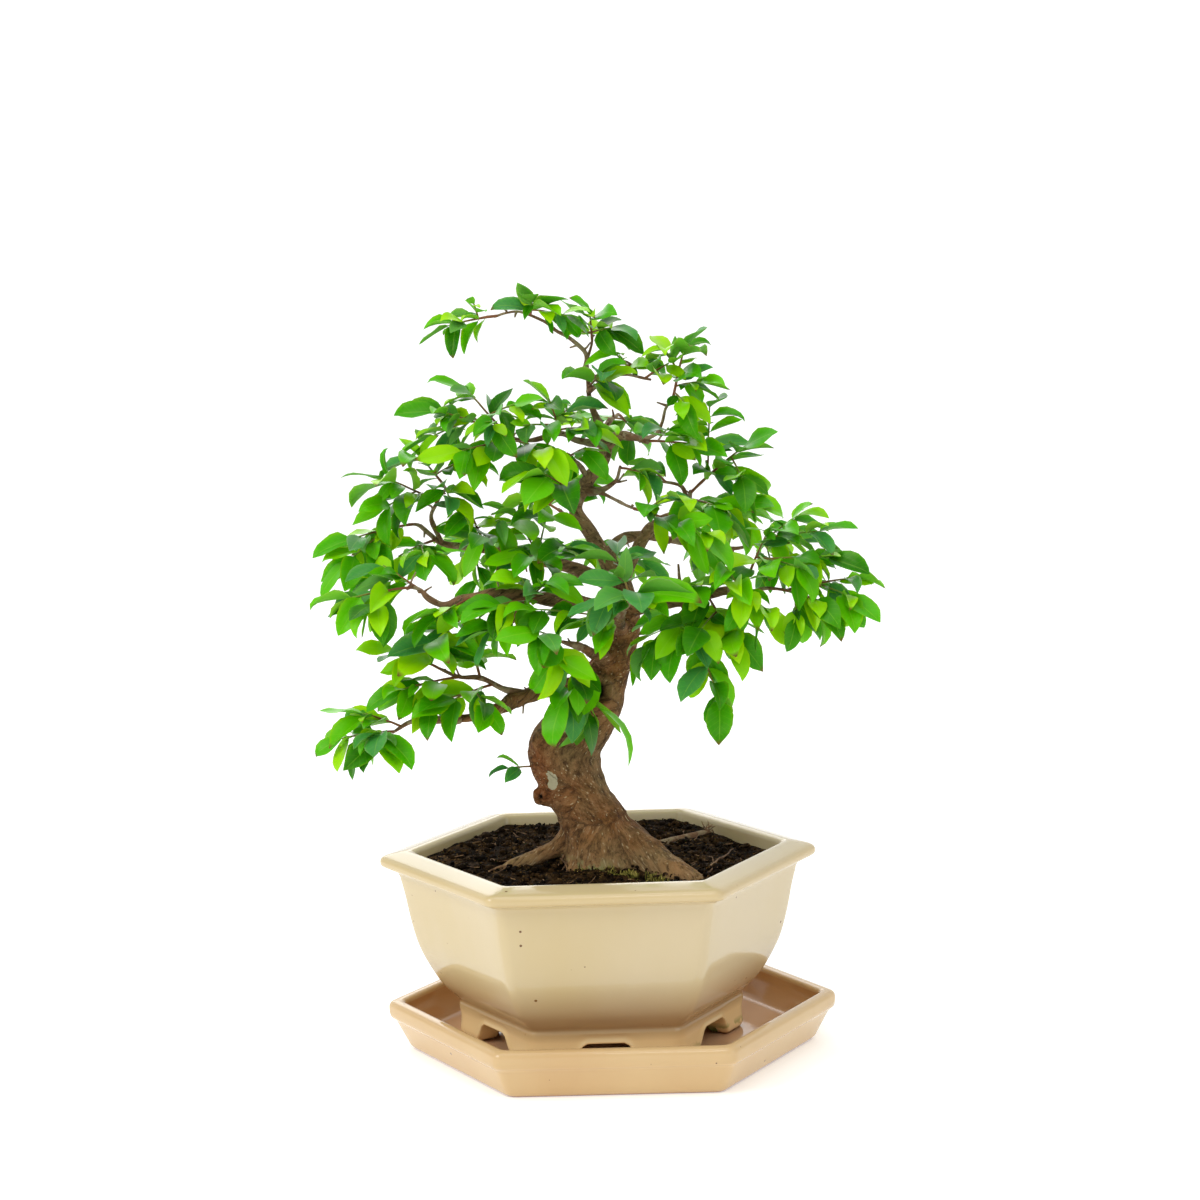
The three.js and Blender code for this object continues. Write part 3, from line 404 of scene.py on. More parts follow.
ring = BED_RADIUS * np.linspace(0, 1, BED_RINGS) ** 0.75
side = fillet([[BED_RADIUS, SOIL_LEVEL, 0], [103, 106, 1], [95.6, 65.4, 1], [81.4, 42.6, 1],
               [46, 38.9, 1], [0, 38.9, 0]])[1:]
x, y, _ = hexagon(np.concatenate([ring, side[:, 0]]), 7, POT_TURN, POT_X, arc=5, side=44)
z = np.empty_like(x)
top = slice(BED_RINGS)
z[top] = soil_height(x[top], y[top])
flat = np.stack([x[top], y[top], 0 * x[top]], -1).reshape(-1, 3)
clods = 1.6 * np.maximum(bumps(flat, 8, 3, 2), -0.5) + 1.5 * np.abs(bumps(flat, 3.2, 8, 2))
clods = clods.reshape(BED_RINGS, -1) * np.clip((BED_RADIUS - ring) / 6, 0.25, 1)[:, None]
z[top] += clods - 1.0
z[0] = z[0].mean()
z[BED_RINGS:] = side[:, 1:]

peat, tree, shader = start_material("peaty_bonsai_soil")
coords = add(tree, "ShaderNodeTexCoord").outputs["Object"]
off, luck = cells(tree, coords, 1.3)
colour = coats(tree, "#180f07", (spots(tree, coords, 5, 0.5, 6.0), "#3a2814"),
               (ramp(tree, luck, [(0.86, 0.0), (0.97, 0.8)]), "#715530"),
               # Near black where the bed lies low between clods: painted shade.
               (stored(tree, "depth"), "#0f0905"))
set_inputs(tree, shader, {"Base Color": colour, "Roughness": 0.85,
                          "Specular IOR Level": 0.05, "Normal": relief(tree, off, 0.8, 0.8)})
# The bed is painted darker where it lies low between the clods: painted shade in the hollows.
depth = np.ones_like(x)
depth[top] = np.clip(0.55 - 0.6 * clods, 0, 1)
soil = make_piece("soil_bed", np.stack([x, y, z], -1).reshape(-1, 3),
                  grid_faces(*x.shape, True), peat, marks={"depth": depth.ravel()})
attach(soil, "root")
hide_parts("soil")


def lump(rows, columns):
    """A rough ball of quads: points of a unit sphere at even steps of height and turn."""
    lift = np.linspace(-math.pi / 2, math.pi / 2, rows + 1)[:, None]
    turn = np.linspace(0, 2 * math.pi, columns, endpoint=False)[None]
    ball = np.stack([np.cos(lift) * np.cos(turn), np.cos(lift) * np.sin(turn),
                     np.sin(lift) + 0 * turn], -1).reshape(-1, 3)
    return ball, grid_faces(rows + 1, columns, True)


def scatter(shape, faces, places, sizes, spins):
    """Many copies of one shape: each is stretched by its sizes, turned by its spin about
    the vertical, and moved to its place."""
    grown = shape[None] * sizes[:, None]
    c, s = np.cos(spins)[:, None], np.sin(spins)[:, None]
    turned = np.stack([grown[..., 0] * c - grown[..., 1] * s,
                       grown[..., 0] * s + grown[..., 1] * c, grown[..., 2]], -1)
    points = (turned + places[:, None]).reshape(-1, 3)
    shift = np.arange(len(places))[:, None, None] * len(shape)
    return points, (faces[None] + shift).reshape(-1, 4)


# Loose crumbs of soil, grit and bark lie on the bed and half sink into it, clear of the
# pot's wall.
chance = np.random.default_rng(41)
CRUMBS = 2600
away = 98 * np.sqrt(chance.random(CRUMBS))
turn = 2 * math.pi * chance.random(CRUMBS)
place = np.stack([POT_X + away * np.cos(turn), away * np.sin(turn), 0 * turn], -1)
sides = np.cos((turn[:, None] - POT_TURN) - (np.arange(6) + 0.5) * math.pi / 3).max(axis=1)
place = place[away * sides < 87]
place[:, 2] = soil_height(place[:, 0], place[:, 1]) + 0.4
size = 0.45 + 2.0 * chance.random((len(place), 1)) ** 3.5
size = size * (0.7 + 0.6 * chance.random((len(place), 3))) * [1.2, 1, 0.75]
ball, ball_faces = lump(4, 6)
points, faces = scatter(ball, ball_faces, place, size, 6.3 * chance.random(len(place)))
points += 0.35 * shake(points, 1.1, 1)
tone = np.repeat(np.clip(chance.normal(0.45, 0.3, len(place)), 0, 1), len(ball))
crumbs = make_piece("soil_crumbs", points, faces, peat, marks={"depth": tone})
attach(crumbs, "root")


# Tree wood: the trunk, its surface roots and every limb, one piece as it grew. Thin flaking
# bark, brown with rust where plates fell off and grey where it is oldest.

# The trunk's route from its foot in the soil to the tip: [x, y, z, radius].
LEADER = [
    [3, -17, 96, 27], [-1, -16, 108, 26.5], [-4, -15, 118, 24.5], [-7, -14, 127, 21.8],
    [-10, -13.5, 136, 19], [-14, -13, 144, 17.6], [-18, -12, 152, 18.2], [-21.5, -11.5, 161, 19.2],
    [-23.4, -11, 170, 20.8], [-21, -10, 178, 20], [-15.5, -9, 187, 18.2], [-9.5, -8, 196, 16.8],
    [-5, -7.5, 204, 16], [-2, -7, 211, 14.6], [2, -6, 218, 12.3], [6, -5, 227, 10.8],
    [10, -3, 239, 9.6], [12, -1, 250, 8.8], [11, 1, 260, 8], [8, 3, 271, 6.6], [2, 4, 282, 4.9],
    [-6, 4, 295, 4.4], [-14, 2, 309, 4.2], [-13, 0, 320, 4.1], [-6, -2, 329, 4.1],
    [1, -3, 338, 4.1], [3, -2, 347, 3.9], [0, 0, 358, 3], [-5, 2, 371, 2], [-6, 2, 384, 1.7],
    [-7, 1, 394, 1.4],
]

# Surface roots and the knob low on the trunk: [x, y, z, radius], thick end first.
ROOTS = {
    "rootLeft": [[-14, -15, 128, 11], [-24, -16, 123.5, 8], [-33, -17, 118.4, 6],
        [-43, -19, 113.8, 5], [-53, -21, 111.4, 4], [-63, -24, 109, 2.4]],
    "rootRight": [[7, -18, 120, 17], [20, -27, 115.5, 13], [31, -38, 111, 10.5],
        [41, -50, 107.5, 9.6], [50, -57, 104.5, 8.4]],
    "rootFrontLeft": [[-9, -22, 120, 9], [-17, -28, 115, 4.5], [-23, -32, 110, 2.4]],
    "rootFront": [[-2, -20, 120, 13], [-4, -34, 113, 7.5], [1, -42, 108, 3.4]],
    "rootBackRight": [[5, -6, 120, 14], [15, 20, 113, 9], [25, 40, 107, 4]],
    "rootBackLeft": [[-9, -4, 122, 14], [-21, 22, 114, 8.5], [-31, 44, 107, 3.5]],
    "rootThin": [[16, 22, 108, 3.4], [35, 37, 110, 2.3], [48, 45, 111.5, 2], [54, 49, 112, 1.7],
        [59, 52, 112.5, 1.3]],
    "knob": [[-22, -13, 150, 11], [-33, -15, 150.5, 8], [-40, -17, 150, 5.6]],
}

# Limbs: the radius at the foot and at the tip, then the route from foot to tip.
LIMBS = {
    "apex": [1.8, 1, [-7, 1, 391], [-7, 0, 399], [-15, -3, 407], [-23, -6, 412], [-29, -8, 417],
        [-42, -12, 423], [-50, -14, 423], [-57, -16, 421]],
    "apexRight": [1.5, 1.1, [-7, 1, 393], [-4, 4, 402], [-3, 6, 408]],
    "apexSide": [1.9, 1, [-6, 2, 384], [4, 4, 387], [12, 4, 389], [18, 3, 392]],
    "topRightLow": [1.9, 1.1, [-6, 2, 377], [4, -4, 384], [14, -8, 387], [29, -12, 384]],
    "upperRight": [3.6, 2.2, [2, -2, 346], [11, -8, 353], [19, -10, 352], [27, -8, 349]],
    "rightRiser": [2, 1, [22, -9, 350], [31, -10, 353], [35, -12, 360], [37, -14, 368],
        [42, -14, 374]],
    "upperLeft": [2.5, 1.1, [2, -2, 347], [-13, -8, 351], [-22, -12, 355], [-39, -16, 352],
        [-50, -18, 354], [-61, -20, 360], [-71, -22, 366]],
    "leftTwig": [2.2, 1.1, [-7, -2, 328], [-13, -8, 338], [-20, -12, 341]],
    "stub": [2.8, 1.2, [-9, 0, 321], [-1, -7, 322], [6, -10, 326], [9, -11, 329], [11, -12, 336]],
    "longThin": [1.9, 1.1, [-10, -1, 322], [1, -14, 321], [10, -24, 317], [18, -31, 314]],
    "rightFork": [4.8, 1.7, [9, 3, 268], [16, 8, 280], [24, 12, 293], [32, 14, 300],
        [42, 14, 307], [49, 12, 312], [51, 11, 319]],
    "forkLeft": [2, 1.1, [49, 12, 313], [47, 12, 320], [43, 10, 323], [35, 6, 325]],
    "rightLevel": [4.2, 1.1, [2, 4, 281], [10, 16, 290], [22, 24, 292], [40, 34, 288],
        [60, 42, 284], [76, 46, 281], [87, 45, 283]],
    "lowRight": [5, 1.1, [11, -1, 250], [20, -14, 257], [32, -24, 260], [48, -32, 264],
        [62, -36, 267], [73, -38, 268], [81, -40, 266], [89, -40, 269], [103, -42, 268]],
    "snag": [1.8, 1, [47, -31, 263], [43, -30, 273], [42, -29, 282]],
    "lowLeft": [7.5, 1.3, [-5, -8, 205], [-18, -13, 209], [-30, -18, 211], [-41, -22, 211],
        [-50, -26, 207], [-59, -30, 203], [-73, -34, 200], [-90, -38, 199], [-107, -40, 199],
        [-119, -42, 193]],
    "lowLeftUpper": [2.6, 1.2, [-43, -22, 210], [-56, -26, 213], [-71, -30, 221], [-82, -32, 222],
        [-94, -34, 228]],
    "midLeft": [5, 1.3, [11, -2, 252], [-5, -18, 258], [-24, -30, 264], [-44, -38, 267],
        [-62, -42, 269], [-77, -46, 268], [-87, -48, 265], [-96, -50, 269], [-101, -50, 274],
        [-107, -52, 276]],
    "upperMidLeft": [4.8, 1.1, [10, 2, 263], [-2, 8, 270], [-19, 12, 276], [-36, 12, 281],
        [-48, 10, 284], [-69, 6, 289], [-90, 2, 293], [-97, 0, 298], [-103, -2, 304],
        [-109, -3, 305]],
    "leftRiser": [2.1, 1.1, [-91, 1, 294], [-96, -2, 308], [-92, -6, 318], [-87, -8, 325]],
    "front": [5.4, 1.6, [10, -3, 241], [8, -28, 249], [9, -48, 258], [14, -62, 266]],
    "frontLeft": [5.4, 1.5, [4, -6, 223], [-4, -26, 231], [-14, -43, 239], [-23, -56, 244]],
    "frontHigh": [2.8, 1.4, [-13, 0, 316], [-15, -18, 320], [-17, -36, 326]],
    "back": [4.8, 1.6, [10, 2, 262], [8, 26, 267], [5, 50, 271], [-1, 72, 275]],
    "backUpper": [3.2, 1.4, [-6, 4, 296], [-14, 26, 301], [-23, 48, 304]],
    "backTop": [2.6, 1.2, [1, -1, 355], [6, 22, 359], [11, 42, 361]],
    "backRight": [2.4, 1.2, [38, 33, 288], [50, 56, 291], [60, 76, 292]],
    "backLeft": [2.8, 1.3, [-34, 12, 281], [-49, 36, 278], [-64, 58, 278]],
}


def unit(vectors):
    """The vectors at length 1."""
    return vectors / np.linalg.norm(vectors, axis=-1, keepdims=True)


def tube(route, radii, sides):
    """A closed tube: a ring of `sides` points about each point of the route, in the plane
    across it. At each end two smaller rings round it off, and the last one is filled."""
    along = unit(np.gradient(route, axis=0))
    last = len(route) - 1
    station = np.array([0, 0, *range(last + 1), last, last])
    push = np.zeros(len(station))
    push[[0, 1, -2, -1]] = [-0.5, -0.4, 0.4, 0.5]
    shrink = np.ones(len(station))
    shrink[[0, 1, -2, -1]] = [0.1, 0.7, 0.7, 0.1]
    route, along, radii = route[station], along[station], np.asarray(radii, float)[station]
    fixed = np.eye(3)[np.argmin(np.abs(along).max(axis=0))]
    across = unit(fixed - along * (along @ fixed)[:, None])
    over = np.cross(along, across)
    angle = np.linspace(0, 2 * math.pi, sides, endpoint=False)[None, :, None]
    ring = across[:, None] * np.cos(angle) + over[:, None] * np.sin(angle)
    middle = route + along * (push * radii)[:, None]
    points = middle[:, None] + ring * (radii * shrink)[:, None, None]
    first = np.arange(sides)
    fan = np.array([[0, i, i + 1, i + 2] for i in range(1, sides - 2, 2)])
    faces = [grid_faces(len(station), sides, True), first[fan][:, ::-1],
             first[fan] + (len(station) - 1) * sides]
    return points.reshape(-1, 3), np.vstack(faces)


def join(parts):
    """Several meshes of points and quads as one."""
    shift = np.cumsum([0] + [len(points) for points, _ in parts[:-1]])
    faces = [faces + first for (_, faces), first in zip(parts, shift)]
    return np.vstack([points for points, _ in parts]), np.vstack(faces)


limbs = {"leader": np.array(LEADER, float)}
for name, (foot, tip, *route) in LIMBS.items():
    limbs[name] = np.column_stack([np.array(route, float), np.linspace(foot, tip, len(route))])

# The stout wood is skinned together below. Twigs thinner than this radius stay tubes.
TWIG_RADIUS = 2.2
STATION_STEP = 2.5
stout, twigs, routes = [], [], []
for name, limb in limbs.items():
    trunk = name == "leader"
    length = np.linalg.norm(np.diff(limb[:, :3], axis=0), axis=1).sum()
    u = np.linspace(0, 1, int(length / STATION_STEP) + 3)
    line = catmull(limb, u)
    line, girth = line[:, :3], line[:, 3]
    girth = girth * (1 + (0.02 if trunk else 0.2) * bumps(line, 5, 6))
    girth = girth * np.interp(girth, [1.2, 3.5], [0.65, 1])
    loose = np.where(girth < 6, 0.3 * girth, 0.6) * np.sin(u * math.pi)
    bent = shake(line, 11, 11) + (0 if trunk else 0.5) * shake(line, 4.5, 14)
    line = line + bent * loose[:, None]
    routes.append(line)
    if not trunk:
        girth = girth * (1 + 0.2 * np.exp(-u * length / girth[0]))
    slim = np.append(np.nonzero(girth < TWIG_RADIUS)[0], len(u))[0]
    if slim > 3:
        stout.append(tube(line[:slim], girth[:slim], 24 if trunk else 14))
    if slim < len(u) - 1:
        foot = max(slim - 3, 0)
        twigs.append(tube(line[foot:], girth[foot:], 10))
for name, root in ROOTS.items():
    line = catmull(root, np.linspace(0, 1, 5 * len(root)))
    line[:, 2] += 0.5 * bumps(line[:, :3], 7, 21)
    place = twigs if line[0, 3] < 5 else stout
    place.append(tube(line[:, :3], line[:, 3], 16))
    routes.append(line[:, :3])

# Short dead spurs, left where side twigs were nipped off, stand all along the thin limbs.
chance = np.random.default_rng(17)
for route in routes[1:len(limbs)]:
    for place in chance.integers(2, len(route), len(route) // 7):
        lean = unit(chance.normal(0, 1, 3) + [0, 0, 0.4])
        bent = lean + chance.normal(0, 0.4, 3)
        spur = route[place] + np.outer([0, 2.5], lean)
        spur = np.vstack([spur, spur[1] + chance.uniform(1, 4) * bent])
        twigs.append(tube(spur, [0.9, 0.65, 0.45], 6))

# The stump of a sawn-off limb hangs under the one that runs to the middle left.
stump = catmull([[-47, -36, 267, 5.2], [-50, -33, 262, 5], [-53, -29, 256, 4.6],
                 [-55, -26, 252, 4.9]], np.linspace(0, 1, 12))
stout.append(tube(stump[:, :3], stump[:, 3], 14))

# One closed skin is drawn over all the stout tubes, and smoothed where they meet.
core = make_piece("wood_core", *join(stout), bpy.data.materials.new("core"))
skin = core.modifiers.new("skin", "REMESH")
skin.mode = "VOXEL"
skin.voxel_size = 0.9 * MM
ease = core.modifiers.new("ease", "SMOOTH")
ease.factor = 0.5
ease.iterations = 6
bpy.context.view_layer.update()
skinned = core.evaluated_get(bpy.context.evaluated_depsgraph_get()).to_mesh()
points = read(skinned.vertices, "co") / MM
normals = read(skinned.vertex_normals, "vector")
faces = read(skinned.loops, "vertex_index", 1, np.int32).reshape(-1, 4)
bpy.data.objects.remove(core)


def straighten(points, routes, pace):
    """Places on the wood as if each limb were a straight rod: across it they stay as they
    are, and along it they move at `pace`, so noise over them makes grain with the limb."""
    line, along = np.vstack(routes), np.vstack([unit(np.gradient(r, axis=0)) for r in routes])
    step = [np.linalg.norm(np.diff(r, axis=0, prepend=r[:1]), axis=1) for r in routes]
    reach = np.concatenate([np.cumsum(s) for s in step])
    finder = KDTree(len(line))
    for i, p in enumerate(line):
        finder.insert(p, i)
    finder.balance()
    near = np.array([finder.find(p)[1] for p in points])
    off = points - line[near]
    ahead = (off * along[near]).sum(axis=1)
    flat = off - ahead[:, None] * along[near]
    flat[:, 2] += pace * (reach[near] + ahead)
    return flat


# Relief: muscle-like swells, ridges that run along the wood, and the rotted hollows, each
# with a rolled lip round it.
HOLLOWS = [  # middle, half width, half height, depth, lip
    [(-39.5, -25, 149.3), 3.0, 4.6, 6, 0.8],
    [(-39.1, -26, 187.8), 2.8, 6.5, 7, 1.3],
    [(-4.8, -23, 210.6), 5.0, 5.8, 9, 1.8],
    [(-55, -28, 250), 3.6, 3.6, 5, 0.7],
]
GRAIN_PACE = 0.6
grain = straighten(points, routes, GRAIN_PACE)
big = np.clip((230 - points[:, 2]) / 60, 0.15, 1)
raised = big * (bumps(points, 17, 31) + 0.7 * bumps(points, 7, 32)) - 0.6 * big
raised += (0.12 + 0.3 * big) * bumps(grain, 3.2, 33, 2) + 0.25 * big * bumps(points, 2.6, 34)
torn = np.exp(-(((points - (50, -56, 107)) / 11) ** 2).sum(axis=1))
raised += torn * (1.3 * bumps(grain, 2.4, 36) + 0.8 * bumps(points, 4, 37))
raised += 2.2 * np.exp(-(((points - (-40, -18, 184)) / 15) ** 2).sum(axis=1))
# The hollow share also paints the holes near black in the bark: painted shade.
hollow = np.zeros(len(points))
for middle, wide, high, depth, lip in HOLLOWS:
    reach = np.linalg.norm((points - middle) / [wide, 1.6 * wide, high], axis=1)
    hollow = np.maximum(hollow, np.exp(-reach ** 4))
    raised -= depth * np.exp(-reach ** 4) - lip * np.exp(-((reach - 1.5) / 0.35) ** 2)
points = points + normals * raised[:, None]
twig_points, twig_faces = join(twigs)

bark, tree, shader = start_material("syzygium_bark")
coords = add(tree, "ShaderNodeTexCoord").outputs["Object"]
grain_at = stored(tree, "grain", "Vector")
place = add(tree, "ShaderNodeSeparateXYZ", {"Vector": coords})
aside, height = place.outputs["X"], place.outputs["Z"]
# Flakes 4 mm long lie in lighter and darker rows, with fine streaks and pale lichen flecks.
flakes = noise(tree, grain_at, 260.0, 8.0, 0.72)
streak = noise(tree, grain_at, 700.0, 4.0, 0.7)
off, luck = cells(tree, grain_at, 4 / 3)
fleck = calc(tree, "MULTIPLY", ramp(tree, off, [(0.2, 0.75), (0.4, 0.0)]),
             calc(tree, "GREATER_THAN", luck, 0.84))
twig_colour = coats(tree, "#84644a", (spots(tree, coords, 4, 0.5, 4.0), "#a08c6e"),
                    (ramp(tree, streak, [(0.33, 0.8), (0.45, 0.0)]), "#3c2817"))
# A pale scar, where a plate of bark came off, has a ragged edge.
scar = coords
for operation, by in (("SUBTRACT", (-0.0325, -0.033, 0.1603)), ("MULTIPLY", (1.1, 0.5, 0.75))):
    scar = add(tree, "ShaderNodeVectorMath", {0: scar, 1: by}, operation=operation).outputs[0]
scar = add(tree, "ShaderNodeVectorMath", {0: scar}, operation="LENGTH").outputs["Value"]
scar = calc(tree, "MULTIPLY_ADD", noise(tree, coords, 260.0), 0.006, scar)
scar = calc(tree, "LESS_THAN", scar, 0.0078)
rust = calc(tree, "MULTIPLY", slope(tree, aside, (0.0, -0.04), (0.0, 0.8)),
            slope(tree, height, (0.25, 0.21)))
grey = calc(tree, "MULTIPLY", spots(tree, coords, 20, 0.4, 6.0, 0.1), 0.8)
moss_film = calc(tree, "MULTIPLY", stored(tree, "mossy"), spots(tree, coords, 3, 0.5, 6.0))
# The trunk's left flank is rusty, the young bark higher up is greyer, and its foot is pale.
colour = coats(tree, "#8a5b2d", (spots(tree, coords, 15, 0.5, 6.0, 0.1), "#604022"),
               (rust, "#8a522b"),
               (slope(tree, height, (0.23, 0.3), (0.0, 0.75)), "#998262"),
               (grey, "#806b46"),
               (slope(tree, height, (0.125, 0.112), (0.0, 0.55)), "#a08259"),
               (ramp(tree, flakes, [(0.38, 0.8), (0.5, 0.0)]), "#38230f"),
               (ramp(tree, flakes, [(0.5, 0.0), (0.68, 0.55)]), "#b0855c"),
               (ramp(tree, streak, [(0.6, 0.0), (0.7, 0.6)]), "#c9b088"),
               (ramp(tree, streak, [(0.33, 0.8), (0.42, 0.0)]), "#2c1c10"),
               (fleck, "#c2ab84"),
               (stored(tree, "twig"), twig_colour),
               (scar, "#b9b191"),
               # The rotted hollows are painted near black: painted shade in the holes.
               (ramp(tree, stored(tree, "hollow"), [(0.15, 0.0), (0.6, 1.0)]), "#17100b"),
               (moss_film, "#8f8a5c"))
rough = calc(tree, "MULTIPLY_ADD", flakes, 2.5, streak)
set_inputs(tree, shader, {"Base Color": colour, "Roughness": 0.75, "Specular IOR Level": 0.15,
                          "Normal": relief(tree, rough, 1.0, 0.8)})

# A grey-green crust of moss grows over the foot of the trunk in front, and in one small spot.
crust = np.exp(-((points[:, 0] + 12) / 16) ** 2) * np.clip((119 - points[:, 2]) / 5, 0, 1)
crust = crust * (points[:, 1] < -15)
spot = np.linalg.norm(points - (-28.7, -38, 146.7), axis=1) < 2.4
nothing, everything = np.zeros(len(twig_points)), np.ones(len(twig_points))
wood_points, wood_faces = join([(points, faces), (twig_points, twig_faces)])
wood = make_piece("tree_wood", wood_points, wood_faces, bark, marks={
    "hollow": np.append(hollow, nothing), "mossy": np.append(np.maximum(crust, spot), nothing),
    "twig": np.append(np.zeros(len(points)), everything),
    "grain": np.vstack([grain, straighten(twig_points, routes, GRAIN_PACE)]) * MM})
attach(wood, "root")
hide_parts("trunk")


# Foliage: leafy sprays, one piece each. A spray is a shoot with side shoots, brown where it
# leaves the limb and green towards its tips, and it carries glossy leaves in crosswise
# pairs. Each leaf is a thin fleshy blade, folded a little along its midrib, with a drip tip.

